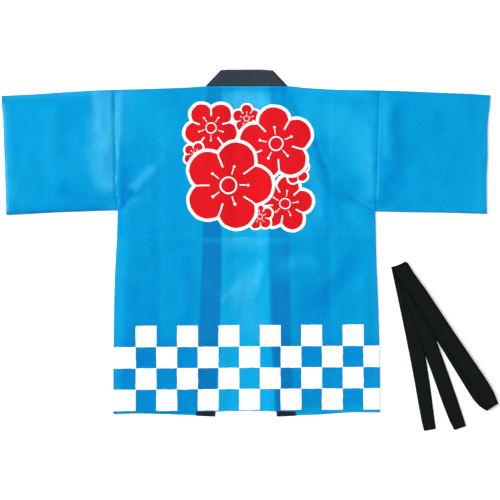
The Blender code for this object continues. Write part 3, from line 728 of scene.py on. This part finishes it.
def body_sheet(name, side_edges, cell, hem, sizes, upper):
    """The back or a front: a sheet between two edges, turned at its sides and its shoulder.

    side_edges gives the two edges' x for an array of y, and says which of them turn.
    """
    lower, radius, length = turn_sizes(sizes)
    strips = length * np.arange(TURN_STEPS, 0, -1) / TURN_STEPS
    above, below = body_rows(cell)
    start, end, *turns = side_edges
    guide_above = between(GUIDE_TOP, GUIDE_ARMPIT, above)
    guide = np.concatenate([guide_above, between(GUIDE_ARMPIT, GUIDE_HEM, below)])
    left = start(guide)
    right = end(guide)
    count = max(int(abs(right.mean() - left.mean()) / cell), 8)
    x = left[:, None] + (right - left)[:, None] * np.linspace(0.0, 1.0, count + 1)
    at_start, at_end = (TURN_STEPS * turn for turn in turns)
    over_side = np.concatenate([strips[:at_start], np.zeros(count + 1), strips[::-1][:at_end]])
    side = np.pad(np.sign(x[len(x) // 2]), (at_start, at_end), mode="edge")
    x = np.pad(x, ((0, 0), (at_start, at_end)), mode="edge")
    middle = np.interp(x, ARMPIT_XS, [armpit(-1), armpit(1)])
    top = y_at(TOP_EDGE, x) - SEAM_GAP / 2 - curl(length, shoulder_turn(x), radius)[0]
    pit = len(above)
    rows_above = between(top[:pit], middle[:pit], above[:, None])
    rows_below = between(middle[pit:], y_at(hem, x[pit:]), below[:, None])
    over_shoulder = ((TURN_STEPS, 0), (0, 0))
    y = np.pad(np.concatenate([rows_above, rows_below]), over_shoulder, mode="edge")
    x = np.pad(x, over_shoulder, mode="edge")
    over_top = np.zeros_like(y)
    over_top[:TURN_STEPS] = strips[:, None]
    out, side_drop = curl(over_side, side_turn(x, y), radius)
    up, top_drop = curl(over_top, shoulder_turn(x), radius)
    drop = side_drop + top_drop
    if upper:
        z = upper_height(x, y, sizes) - drop
        map_x = x + side * over_side
    else:
        ripple = 0.35 * np.clip(crease_height(x, y), 0.0, 0.002) * sizes.creasing
        z = lower + drop + ripple * eased(fold_distance(x, y) / FOLD_REACH)
        map_x = side * (2.0 * (body_side(x, y) + length) - np.abs(x) - over_side)
    seam = np.where(y > armpit(x), armhole(x, y) - np.abs(x), 1.0)
    from_hem = y - y_at(hem, x)
    pale = painted_light_and_shade(x, y)
    if not upper:
        pale[..., 2] += eased(1.0 - from_hem / HEM_SHOWING)
    sewn = stack(seam, from_hem, band_showing(x, y))
    values = {"under": under_values(x, y), "sewn": sewn, "pale": pale}
    points = stack(x + side * out, y + up, z)
    return cloth_object(name, points, stack(map_x, y + over_top), values, outside_down=not upper)


def panel_start(side, sizes):
    """The x of the body's outer edge on one side where its turn starts, for an array of y."""
    _, radius, length = turn_sizes(sizes)

    def edge(y):
        x = np.full_like(y, side)
        limit = np.where(y > armpit(x), armhole(x, y) - SEAM_GAP / 2, body_side(x, y))
        return side * (limit - curl(length, side_turn(x, y), radius)[0])

    return edge


def sleeve_sheet(name, side, sizes):
    """One sleeve: a flattened tube, open at the cuff and at the armhole."""
    lower, radius, _ = turn_sizes(sizes)
    upper_cells = int(SLEEVE_DEPTH / sizes.cell)
    counts = (upper_cells, SLEEVE_TURN_CELLS, SLEEVE_UNDER_CELLS, SLEEVE_TURN_CELLS)
    parts = np.concatenate([part + np.arange(count) / count for part, count in enumerate(counts)] + [[4.0]])
    stretch = np.minimum(parts.astype(int), 3)
    part = parts - stretch
    height_part = np.select([stretch == 0, stretch == 1, stretch == 2], [part, 1.0, 1.0 - part], 0.0)
    guide_y = between(GUIDE_SLEEVE_TOP, armpit(side), height_part)
    seam_x = side * (armhole(np.full_like(guide_y, side), guide_y) + SEAM_GAP / 2)
    cuff_x = x_at(CUFF_LEFT if side < 0 else CUFF_RIGHT, guide_y)
    rows = np.linspace(0.0, 1.0, int(SLEEVE_LENGTH / sizes.cell) + 1)[:, None]
    x = between(cuff_x, seam_x, rows)
    top = y_at(TOP_EDGE, x) - radius
    low = underarm(x) + radius
    flat_y = between(top, low, height_part)
    turn = np.broadcast_to(math.pi * part, x.shape)
    stretch = np.broadcast_to(stretch, x.shape)
    stretches = [stretch == 0, stretch == 1, stretch == 2]
    reach = radius * np.sin(turn)
    rise = radius * np.cos(turn)
    middle = (sizes.fold_top + lower) / 2
    half_turn = math.pi * radius
    y = flat_y + np.select(stretches, [0.0, -reach, 0.0], reach)
    z = np.select(stretches, [upper_height(x, flat_y, sizes), middle + rise, lower], middle - rise)
    map_y = np.select(
        stretches, [flat_y, low - radius * turn, flat_y - half_turn], top - half_turn + radius * turn
    )
    beneath = stack(np.full_like(x, -1.0), np.ones_like(x), fold_distance(x, flat_y))
    sewn = stack(np.abs(x) - armhole(x, flat_y), np.abs(x - cuff_x), np.ones_like(x))
    pale = painted_light_and_shade(x, flat_y)
    pale[stretch == 2] *= 0.3
    values = {"under": beneath, "sewn": sewn, "pale": pale}
    return cloth_object(name, stack(x, y, z), stack(x, map_y), values, closed=True, outside_down=side < 0)


def band_stations(side):
    """The collar's front band from its lower end up to the slanting fold: seam edge, free edge."""
    turn = TURN_LEFT if side < 0 else TURN_RIGHT
    stations = []
    for y in np.linspace(BAND_BOTTOM, BAND_TOP, BAND_STATIONS):
        at = np.float64(side)
        seam_y, free_y = (BAND_END_OUTER, BAND_END_INNER) if y == BAND_BOTTOM else (y, y)
        seam = Vector((side * float(band_outer(at, y)), seam_y, COLLAR_LOWER))
        free = Vector((side * float(band_inner(at, y)), free_y, COLLAR_LOWER))
        stations.append((seam, free))
    last_seam, last_free = stations[-1]
    corner_seam = turn[0].to_3d() + Vector((0.0, 0.0, COLLAR_LOWER))
    corner_free = turn[1].to_3d() + Vector((0.0, 0.0, COLLAR_LOWER))
    for step in (0.33, 0.67, 1.0):
        stations.append((last_seam.lerp(corner_seam, step), last_free.lerp(corner_free, step)))
    return stations


def turn_stations(side):
    """The slanting fold at one corner of the neck, from the front band up to the neck band."""
    seam, free = TURN_LEFT if side < 0 else TURN_RIGHT
    run = (free - seam).normalized()
    outward = Vector((-run.y, run.x)) * -side
    stations = []
    for step in range(1, NECK_FOLD_STEPS + 1):
        angle = math.pi * step / NECK_FOLD_STEPS
        shift = (outward * COLLAR_FOLD_RADIUS * math.sin(angle)).to_3d()
        shift.z = (COLLAR_LOWER + COLLAR_UPPER) / 2 - COLLAR_FOLD_RADIUS * math.cos(angle)
        stations.append((seam.to_3d() + shift, free.to_3d() + shift))
    return stations


def neck_stations():
    """The neck band between its two corner folds, sagging to the table in the middle."""
    spots = [(-0.078, -0.0568), (-NECK_SAG_OUTER, -0.0560), (-0.049, -0.0485), (-0.041, -0.041)]
    spots += [(-0.033, -0.033), (-NECK_SAG_INNER, -NECK_SAG_INNER), (-0.0125, -0.0125), (0.0, 0.0)]
    spots += [(-seam, -free) for seam, free in reversed(spots[:-1])]
    stations = []
    for seam_x, free_x in spots:
        height = float(collar_height(np.float64(seam_x)))
        free = Vector((free_x, float(y_at(NECK_FREE_EDGE, free_x)), height))
        stations.append((Vector((seam_x, NECK_SEAM, height)), free))
    return stations


def ribbon_object(name, stations, across, end_shade):
    """A flat band through pairs of edge points, mapped in metres along and across.

    end_shade is how many times farther the painted shade of an edge reaches at the band's two ends.
    """
    parts = np.linspace(0.0, 1.0, across + 1)
    starts = np.array([tuple(pair[0]) for pair in stations])
    ends = np.array([tuple(pair[1]) for pair in stations])
    points = starts[:, None, :] + (ends - starts)[:, None, :] * parts[None, :, None]
    middles = (starts + ends) / 2
    steps = np.linalg.norm(np.diff(middles, axis=0), axis=1)
    along = np.concatenate([[0.0], np.cumsum(steps)])
    width = np.linalg.norm(ends - starts, axis=1)
    u = np.broadcast_to(along[:, None], points.shape[:2])
    v = width[:, None] * parts[None, :]
    steep = np.abs(np.diff(middles[:, 2])) > 0.25 * steps
    in_fold = np.concatenate([steep, [False]]) | np.concatenate([[False], steep])
    from_end = np.minimum(along, along[-1] - along) / end_shade
    from_fold = np.minimum(np.abs(along[:, None] - along[None, in_fold]).min(axis=1), from_end)
    edges = stack(v, width[:, None] - v, np.broadcast_to(from_fold[:, None], v.shape))
    return cloth_object(name, points, stack(u, v), {"edges": edges})


def strip_stations(strips, angle, start, level):
    """Left and right edge points of one strip of the belt, which runs down and to the right."""
    run = heading(angle)
    right = Vector((-run.y, run.x))
    spots = [strip.along for strip in strips]
    rising = spots[-1] > spots[0]
    table = strips if rising else list(reversed(strips))
    known = [strip.along for strip in table]
    count = max(int(abs(spots[-1] - spots[0]) / BELT_CELL), 2)
    stations = []
    for along in np.linspace(spots[0], spots[-1], count + 1):
        across = float(np.interp(along, known, [strip.across for strip in table]))
        width = float(np.interp(along, known, [strip.width for strip in table]))
        middle = start + run * float(along) + right * across
        pair = ((middle - right * width / 2).to_3d(), (middle + right * width / 2).to_3d())
        for point in pair:
            point.z = level
        stations.append(pair)
    return stations


def belt_fold(start, end, outward, radius):
    """The half turn between two layers, whose last and first stations it joins."""
    stations = []
    low = min(start[0].z, end[0].z)
    rising = 1.0 if end[0].z > start[0].z else -1.0
    for step in range(1, BELT_FOLD_STEPS):
        angle = math.pi * step / BELT_FOLD_STEPS
        part = (1.0 - math.cos(angle)) / 2
        shift = (outward * radius * math.sin(angle)).to_3d()
        pair = (start[0].lerp(end[0], part) + shift, start[1].lerp(end[1], part) + shift)
        for point in pair:
            point.z = low + radius * (1.0 - rising * math.cos(angle))
        stations.append(pair)
    return stations


def heading(angle):
    return Vector((math.sin(angle), -math.cos(angle)))


def belt_stations():
    """The belt: doubled, and doubled again, so that one fold lies inside the other."""
    doubled = BELT_DOUBLED_ANGLE
    first_end = strip_stations(BELT_END_STRIP, BELT_END_ANGLE, BELT_TOP, BELT_LEVELS[0])
    upper = strip_stations(BELT_UPPER_STRIP, doubled, BELT_TOP, BELT_LEVELS[3])
    lower = strip_stations(BELT_LOWER_STRIP, doubled, BELT_TOP, BELT_LEVELS[2])
    other_end = strip_stations(BELT_OTHER_END_STRIP, BELT_OTHER_END_ANGLE, BELT_INNER_TOP, BELT_LEVELS[1])
    top_out = -heading((doubled + BELT_END_ANGLE) / 2)
    inner_out = -heading((doubled + BELT_OTHER_END_ANGLE) / 2)
    stations = list(reversed(first_end))
    stations += belt_fold(first_end[0], upper[0], top_out, BELT_TOP_RADIUS)
    stations += upper
    stations += belt_fold(upper[-1], lower[0], heading(doubled), BELT_SMALL_RADIUS)
    stations += lower
    stations += belt_fold(lower[-1], other_end[0], inner_out, BELT_SMALL_RADIUS)
    return stations + other_end


def reckoned(operation, swapped=False):
    """An operator of Value, which becomes a node of the value's board."""

    def operator(value, *others):
        values = (*others, value) if swapped else (value, *others)
        return value.board.math(operation, *values)

    return operator


class Value:
    """A socket that can be reckoned with."""

    def __init__(self, board, socket):
        self.board = board
        self.socket = socket

    __add__ = reckoned("ADD")
    __sub__ = reckoned("SUBTRACT")
    __rsub__ = reckoned("SUBTRACT", swapped=True)
    __mul__ = reckoned("MULTIPLY")
    __truediv__ = reckoned("DIVIDE")
    __rtruediv__ = reckoned("DIVIDE", swapped=True)
    __lt__ = reckoned("LESS_THAN")
    __gt__ = reckoned("GREATER_THAN")
    __abs__ = reckoned("ABSOLUTE")


class Board:
    """Places and links the nodes of one tree. An input is a Value, a number, a vector or a colour."""

    def __init__(self, tree):
        self.tree = tree

    def feed(self, socket, value):
        if isinstance(value, Value):
            self.tree.links.new(value.socket, socket)
        elif socket.type == "RGBA":
            socket.default_value = (*value, 1.0)
        else:
            socket.default_value = value

    def add(self, kind, inputs, **settings):
        """A new node with its settings made and its inputs fed, by number or by name."""
        node = self.tree.nodes.new(kind)
        for key, value in settings.items():
            setattr(node, key, value)
        for key, value in inputs.items():
            self.feed(node.inputs[key], value)
        return node

    def value(self, kind, inputs, output=0, **settings):
        return Value(self, self.add("ShaderNode" + kind, inputs, **settings).outputs[output])

    def math(self, operation, *values, clamp=False):
        return self.value("Math", dict(enumerate(values)), operation=operation, use_clamp=clamp)

    def vector(self, operation, *values):
        return self.value("VectorMath", dict(enumerate(values)), operation=operation)

    def most(self, first, *others):
        for other in others:
            first = self.math("MAXIMUM", first, other)
        return first

    def hypot(self, x, y):
        return self.math("SQRT", x * x + y * y)

    def step(self, value, start, end):
        """0 below start, 1 above end, soft between them. start may be the larger."""
        inputs = {"Value": value, "From Min": start, "From Max": end}
        return self.value("MapRange", inputs, "Result", interpolation_type="SMOOTHSTEP")

    def mix(self, part, first, second):
        return self.value("Mix", {0: part, 6: first, 7: second}, 2, data_type="RGBA")

    def scale(self, colour, factor):
        return self.value("VectorMath", {0: colour, "Scale": factor}, operation="SCALE")

    def noise(self, place, scale, detail=2.0, stretch=None, roughness=0.5, output=0):
        if stretch:
            place = self.value("Mapping", {"Vector": place, "Scale": stretch})
        inputs = {"Vector": place, "Scale": scale, "Detail": detail, "Roughness": roughness}
        return self.value("TexNoise", inputs, output)

    def split(self, vector):
        node = self.add("ShaderNodeSeparateXYZ", {0: vector})
        return [Value(self, socket) for socket in node.outputs]

    def attribute(self, name):
        return self.split(self.value("Attribute", {}, "Vector", attribute_name=name))

    def group(self, draw, **values):
        """The outputs of the node group that draw makes, drawn once and then shared."""
        tree = bpy.data.node_groups.get(draw.__name__) or new_group(draw, list(values))
        node = self.add("ShaderNodeGroup", values, node_tree=tree)
        return {socket.name: Value(self, socket) for socket in node.outputs}


# Inputs of the node groups that are vectors. All others are plain numbers
VECTOR_INPUTS = ("place", "centre")


def new_group(draw, inputs):
    """A node group named for draw, which gets the inputs by name and returns the named outputs."""
    tree = bpy.data.node_groups.new(draw.__name__, "ShaderNodeTree")
    for key in inputs:
        kind = "NodeSocketVector" if key in VECTOR_INPUTS else "NodeSocketFloat"
        tree.interface.new_socket(name=key, in_out="INPUT", socket_type=kind)
    board = Board(tree)
    taken = board.add("NodeGroupInput", {})
    made = draw(board, **{key: Value(board, taken.outputs[key]) for key in inputs})
    for key in made:
        tree.interface.new_socket(name=key, in_out="OUTPUT", socket_type="NodeSocketFloat")
    board.add("NodeGroupOutput", made)
    return tree


def spunbond(board, place, pitch):
    """Bonded fibre cloth: a grid of pressed points, long fibres, and cloudy density."""
    across, along, _ = board.split(place)
    turns = math.tau / pitch
    waves = board.math("SINE", (across + along) * turns) * board.math("SINE", (across - along) * turns)
    points = board.step(waves, 0.35, 0.85)
    fibres = board.noise(place, 900.0, 3.0, stretch=(1.0, 0.16, 1.0), roughness=0.7)
    slanted = board.noise(place, 700.0, 2.0, stretch=(0.3, 1.0, 1.0), roughness=0.7)
    cloud = board.noise(place, 46.0, 4.0, stretch=(1.0, 0.55, 1.0), roughness=0.62)
    grain = board.noise(place, 340.0, 2.0, roughness=0.65)
    relief = (slanted + fibres) * 0.5 - points * 0.6
    return {"Points": points, "Cloud": cloud, "Grain": grain, "Relief": relief}


def stitches(board, edge, along, inset):
    """One row of stitches at a set distance from an edge."""
    off = abs(edge - inset)
    gap = abs(board.math("FRACT", along / STITCH_PITCH) - 0.5)
    thread = board.step(off, 0.00045, 0.00025) * board.step(gap, 0.42, 0.34)
    return {"Thread": thread, "Pull": thread - board.step(off, 0.0022, 0.0004) * 0.8}


def check_band(board, place):
    """The check band of the print, its edges a little uneven as printed ones are."""
    shift = (board.noise(place, 60.0) - 0.5) * 0.0030
    across, along, _ = board.split(place)
    across = across + (across < CHECK_LEFT - CHECK_WIDTH * 0.9) * 0.0048
    column = (across - CHECK_LEFT + shift) / CHECK_WIDTH
    row = (CHECK_TOP - along + across * math.sin(CHECK_TILT) + shift) / CHECK_HEIGHT
    total = board.math("FLOOR", column) + board.math("FLOOR", row)
    even = board.math("FLOORED_MODULO", total, 2.0) < 0.5
    return {"White": even * (row > 0.0) * (row < CHECK_ROWS)}


def blossom(board, place, centre, size, turn, outline):
    """One five-petalled blossom: its whole shape, and the red inside its white outline."""
    x, y, _ = board.split(board.vector("SUBTRACT", place, centre))
    reach = board.hypot(x, y) / size
    angle = board.math("ARCTAN2", y, x) + turn
    from_petal = abs(board.math("FLOORED_MODULO", angle, PETAL_SECTOR) - PETAL_SECTOR / 2)
    along = reach * board.math("COSINE", from_petal)
    aside = reach * board.math("SINE", from_petal)
    petal = board.hypot(along - (1.0 - PETAL_RADIUS), aside) - PETAL_RADIUS
    edge = board.math("MINIMUM", petal, reach - HEART_RADIUS)
    inset = outline / size
    slit = reach * board.math("SINE", PETAL_SECTOR / 2 - from_petal) < inset * 0.24
    ring = abs(reach - RING_RADIUS) < 0.016
    stamen = (aside < 0.011) * (reach > STAMEN_START) * (reach < STAMEN_END)
    tip = board.hypot(along - TIP_RADIUS, aside) < 0.03
    white = board.most(slit * (reach > HEART_RADIUS), ring, stamen, tip)
    return {"Shape": edge < 0.0, "Red": (edge + inset < 0.0) * (1.0 - white)}


def blossom_print(board, place, outline):
    """The whole print of the back: blossoms over each other, each with its white outline."""
    wobble = board.vector("SUBTRACT", board.noise(place, 45.0, output="Color"), (0.5, 0.5, 0.5))
    place = board.vector("MULTIPLY_ADD", wobble, (0.004, 0.004, 0.0), place)
    shape = 0.0
    red = 0.0
    for flower in FLOWERS:
        line = outline if flower.size > 0.05 else outline * 0.6
        values = {"centre": (flower.x, flower.y, 0.0), "size": flower.size, "turn": flower.turn}
        made = board.group(blossom, place=place, **values, outline=line)
        red = board.most(made["Red"], (1.0 - made["Shape"]) * red)
        shape = board.most(made["Shape"], shape)
    return {"Shape": shape, "Red": red}


def vary(value, strength):
    """A factor that is 1 where a texture is at its middle."""
    return (value - 0.5) * strength + 1.0


def new_material(name, roughness, specular):
    """An empty cloth material: its board and its shader."""
    material = bpy.data.materials.new(name)
    material.use_nodes = True
    shader = material.node_tree.nodes["Principled BSDF"]
    shader.inputs["Roughness"].default_value = roughness
    shader.inputs["Specular IOR Level"].default_value = specular
    return material, Board(material.node_tree), shader


def cloth_weave(board, pitch):
    """The cloth's flat map, its two coordinates, and its texture."""
    place = board.value("UVMap", {}, uv_map="cloth")
    return place, board.split(place), board.group(spunbond, place=place, pitch=pitch)


def bump(board, shader, *layers):
    """Stacks bumps, each a height and the depth in metres that its full range stands for."""
    inputs = {}
    for height, depth in layers:
        inputs = {**inputs, "Distance": depth, "Height": height}
        inputs = {"Normal": board.value("Bump", inputs)}
    board.feed(shader.inputs["Normal"], inputs["Normal"])


def blue_material(name, scene, with_blossoms, print_strength):
    """The printed blue cloth. print_strength is 1 outside, and small where it shows through inside."""
    if name in bpy.data.materials:
        return bpy.data.materials[name]
    colours = scene.coat_colours
    material, board, shader = new_material(name, 0.5, 0.004)
    place, (across, along, _), weave = cloth_weave(board, 0.0022)
    over_band, over_front, from_fold = board.attribute("under")
    seam, hem, showing = board.attribute("sewn")
    # Painted light and shade from the patches: painted highlight, painted shade and painted light; on the
    # fronts the third also lightens the strip below the back's hem, a single layer on the table
    painted_highlight, painted_shade, lightened = board.attribute("pale")
    single = board.step(over_front, 0.0015, -0.0015)
    band = board.step(over_band, -0.0030, 0.0040)
    in_checks = board.step(along, CHECK_TOP - CHECK_HEIGHT * 0.3, CHECK_TOP - CHECK_HEIGHT * 1.1)
    # Painted sheen: the painted highlight, with the cloth's grain in it
    painted_sheen = board.math("MULTIPLY", painted_highlight, vary(weave["Grain"], 1.6), clamp=True)
    blue = board.mix(single, colours.double, colours.single)
    blue = board.mix(painted_shade, blue, colours.deep)
    blue = board.mix(in_checks * (1.0 - single) * 0.66, blue, colours.deep)
    # Painted light, and the fronts' strip below the hem, lighten the blue towards the single layer's blue
    blue = board.mix(lightened, blue, colours.single)
    blue = board.mix(band * showing, blue, colours.over_band)
    blue = board.mix(painted_sheen, blue, colours.sheen_blue)
    tone = vary(weave["Cloud"], 0.16) + (board.noise(place, 9.0, 3.0) - 0.5) * 0.20
    tone = tone + (weave["Grain"] - 0.5) * 0.80 - weave["Points"] * 0.07
    # Painted shade: a dark line along the armhole seam
    tone = tone * (1.0 - board.step(abs(seam), 0.0016, 0.0004) * 0.42)
    # Painted shade: a dark line along the folded edges
    tone = tone * (1.0 - board.step(from_fold, 0.0022, 0.0003) * 0.16)
    tone = tone * (1.0 - in_checks * band * 0.10)
    printed = board.group(check_band, place=place)["White"]
    red = 0.0
    if with_blossoms:
        made = board.group(blossom_print, place=place, outline=scene.coat_sizes.outline)
        printed = board.most(printed, made["Shape"])
        red = made["Red"]
    ink = board.scale(board.mix(red, colours.white, colours.red), vary(weave["Cloud"], 0.05))
    colour = board.mix(printed * print_strength, board.scale(blue, tone), ink)
    sewing = board.group(stitches, edge=seam, along=along, inset=SEWING_INSET)
    hemming = board.group(stitches, edge=hem, along=across, inset=HEMMING_INSET)
    thread = board.most(sewing["Thread"], hemming["Thread"])
    board.feed(shader.inputs["Base Color"], board.mix(thread * 0.45, colour, colours.double))
    board.feed(shader.inputs["Roughness"], weave["Cloud"] * 0.16 + 0.42 + printed * 0.06)
    ripple = board.noise(place, 34.0, 3.0, roughness=0.6)
    pull = sewing["Pull"] + hemming["Pull"]
    bump(board, shader, (ripple, 0.0012), (weave["Relief"], 0.00014), (pull, 0.00025))
    return material


def dark_material(name, colour, thread, pitch, inset, thread_shows, rim):
    """A plain dark cloth with painted shade within rim of its edges, its folds and its ends, and a row of
    stitches along each edge.
    """
    if name in bpy.data.materials:
        return bpy.data.materials[name]
    material, board, shader = new_material(name, 0.62, 0.02)
    place, (along, _, _), weave = cloth_weave(board, pitch)
    one_edge, other_edge, from_fold = board.attribute("edges")
    rows = [board.group(stitches, edge=edge, along=along, inset=inset) for edge in (one_edge, other_edge)]
    sewn = board.most(rows[0]["Thread"], rows[1]["Thread"])
    nearest = board.math("MINIMUM", board.math("MINIMUM", one_edge, other_edge), from_fold)
    tone = vary(weave["Cloud"], 0.5) + (weave["Grain"] - 0.5) * 1.3
    # Painted shade: darker within rim of the edges, the folds and the ends
    tone = tone * (1.0 - board.step(nearest, rim, 0.0004) * 0.62)
    shown = board.mix(sewn * thread_shows, board.scale(colour, tone), thread)
    board.feed(shader.inputs["Base Color"], shown)
    board.feed(shader.inputs["Roughness"], weave["Cloud"] * 0.2 + 0.5)
    pull = rows[0]["Pull"] + rows[1]["Pull"]
    ripple = board.noise(place, 40.0, 3.0)
    bump(board, shader, (ripple, 0.0010), (weave["Relief"], 0.00012), (pull, 0.00030))
    return material


def blue_materials(scene, kind):
    """The outside and the inside of the blue cloth, of the kind back or plain."""
    sides = (("outside", 1.0), ("inside", 0.30))
    return [blue_material(f"blue_cloth_{kind}_{side}", scene, kind == "back", ink) for side, ink in sides]


class COAT_OT_back(bpy.types.Operator):
    """Makes the printed back, laid over the fronts and the collar's bands"""

    bl_idname = "coat.back"
    bl_label = "Back"

    def execute(self, context):
        sizes = context.scene.coat_sizes
        edges = (panel_start(-1, sizes), panel_start(1, sizes), True, True)
        piece = body_sheet("back_cloth", edges, sizes.cell, HEM_BACK, sizes, upper=True)
        materials = blue_materials(context.scene, "back")
        dress(piece, "back", materials)
        give_wall(piece, sizes.wall)
        return {"FINISHED"}


class COAT_OT_fronts(bpy.types.Operator):
    """Makes the two fronts, flat on the table under the back"""

    bl_idname = "coat.fronts"
    bl_label = "Fronts"

    def execute(self, context):
        sizes = context.scene.coat_sizes
        materials = blue_materials(context.scene, "plain")

        def inner(side):
            return lambda y: side * (band_outer(np.full_like(y, side), y) + SEAM_GAP)

        left = (panel_start(-1, sizes), inner(-1.0), True, False)
        right = (inner(1.0), panel_start(1, sizes), False, True)
        for name, edges in (("front_left", left), ("front_right", right)):
            piece = body_sheet(name + "_cloth", edges, sizes.cell * 1.6, HEM_FRONT, sizes, upper=False)
            dress(piece, name, materials)
            give_wall(piece, sizes.wall)
        return {"FINISHED"}


class COAT_OT_sleeves(bpy.types.Operator):
    """Makes the two sleeves, flattened tubes open at the cuff"""

    bl_idname = "coat.sleeves"
    bl_label = "Sleeves"

    def execute(self, context):
        sizes = context.scene.coat_sizes
        materials = blue_materials(context.scene, "plain")
        for name, side in (("sleeve_left", -1.0), ("sleeve_right", 1.0)):
            piece = sleeve_sheet(name + "_cloth", side, sizes)
            dress(piece, name, materials)
            give_wall(piece, sizes.wall)
        return {"FINISHED"}


class COAT_OT_collar(bpy.types.Operator):
    """Makes the collar, one long band up one front, round the neck and down the other"""

    bl_idname = "coat.collar"
    bl_label = "Collar"

    def execute(self, context):
        colours = context.scene.coat_colours
        stations = band_stations(-1) + turn_stations(-1) + neck_stations()
        stations += turn_stations(1)[::-1] + band_stations(1)[::-1]
        piece = ribbon_object("collar_cloth", stations, across=8, end_shade=9.0)
        looks = {"pitch": 0.0020, "inset": 0.0030, "thread_shows": 0.35, "rim": 0.0032}
        material = dark_material("charcoal_cloth", colours.charcoal, colours.thread, **looks)
        dress(piece, "collar", [material])
        give_wall(piece, context.scene.coat_sizes.collar_wall, rounding=0.0005)
        return {"FINISHED"}


class COAT_OT_belt(bpy.types.Operator):
    """Makes the belt, doubled and doubled again beside the coat"""

    bl_idname = "coat.belt"
    bl_label = "Belt"

    def execute(self, context):
        colours = context.scene.coat_colours
        piece = ribbon_object("belt_cloth", belt_stations(), across=6, end_shade=1.0)
        looks = {"pitch": 0.0018, "inset": 0.0022, "thread_shows": 0.8, "rim": 0.0050}
        material = dark_material("black_cloth", colours.black, colours.black, **looks)
        dress(piece, "belt", [material])
        give_wall(piece, context.scene.coat_sizes.belt_wall, rounding=0.0004)
        return {"FINISHED"}


def add_light(name, kind, place, power, **settings):
    """A light that faces the middle of the table."""
    bpy.ops.object.light_add(type=kind, location=place)
    light = bpy.context.active_object
    light.name = name
    light.data.energy = power
    for key, value in settings.items():
        setattr(light.data, key, value)
    light.rotation_euler = (-Vector(place)).to_track_quat("-Z", "Y").to_euler()


class COAT_OT_stage(bpy.types.Operator):
    """Makes the white floor, the soft lights and the camera above the coat"""

    bl_idname = "coat.stage"
    bl_label = "Stage"

    def execute(self, context):
        light = context.scene.coat_light
        bpy.ops.object.select_all(action="DESELECT")
        bpy.ops.mesh.primitive_circle_add(vertices=96, radius=9.0, fill_type="NGON", location=(0, 0, 0))
        floor = context.active_object
        floor.name = "floor"
        material, board, shader = new_material("floor_white", 0.9, 0.0)
        tone = board.noise(board.value("TexCoord", {}, "Object"), 40.0) * 0.02 + 0.89
        board.feed(shader.inputs["Base Color"], board.scale((1.0, 1.0, 1.0), tone))
        floor.data.materials.append(material)
        add_light("key_light", "AREA", (-1.7, 1.7, 3.4), light.key, shape="SQUARE", size=1.6)
        add_light("side_light", "SUN", (-3.0, 1.0, 1.2), light.side, angle=math.radians(14))
        add_light("right_fill", "AREA", (3.4, -0.4, 2.2), light.right, shape="SQUARE", size=2.4)
        add_light("low_fill", "AREA", (0.3, -3.4, 2.4), light.low, shape="SQUARE", size=2.4)
        world = context.scene.world or bpy.data.worlds.new("World")
        context.scene.world = world
        world.use_nodes = True
        background = world.node_tree.nodes["Background"]
        background.inputs["Color"].default_value = (1.0, 1.0, 1.0, 1.0)
        background.inputs["Strength"].default_value = light.sky
        context.scene.view_settings.view_transform = "Standard"
        bpy.ops.object.camera_add(location=(0.0, 0.0007, light.camera_height), rotation=(0, 0, 0))
        camera = context.active_object
        camera.data.lens = 85.0
        camera.data.sensor_width = 36.0
        context.scene.camera = camera
        return {"FINISHED"}


class COAT_PT_panel(bpy.types.Panel):
    """Lists the pieces, sizes, colours and lights of the coat"""

    bl_idname = "COAT_PT_panel"
    bl_label = "Happi Coat"
    bl_space_type = "VIEW_3D"
    bl_region_type = "UI"
    bl_category = "Coat"

    def draw(self, context):
        layout = self.layout
        for step in STEPS:
            layout.operator(step.bl_idname)
        for name in GROUPS:
            group = getattr(context.scene, name)
            box = layout.box()
            for key in group.bl_rna.properties.keys():
                if key not in ("rna_type", "name"):
                    box.prop(group, key)


STEPS = (COAT_OT_stage, COAT_OT_fronts, COAT_OT_collar, COAT_OT_sleeves, COAT_OT_back, COAT_OT_belt)
GROUPS = {"coat_sizes": CoatSizes, "coat_colours": CoatColours, "coat_light": StageLight}
CLASSES = (*GROUPS.values(), *STEPS, COAT_PT_panel)


def register():
    for cls in CLASSES:
        bpy.utils.register_class(cls)
    for name, group in GROUPS.items():
        setattr(bpy.types.Scene, name, PointerProperty(type=group))


def unregister():
    for name in GROUPS:
        delattr(bpy.types.Scene, name)
    for cls in reversed(CLASSES):
        bpy.utils.unregister_class(cls)


def main():
    register()
    bpy.ops.coat.stage()
    bpy.ops.coat.fronts()
    bpy.ops.coat.collar()
    bpy.ops.coat.sleeves()
    bpy.ops.coat.back()
    bpy.ops.coat.belt()


if __name__ == "__main__":
    main()
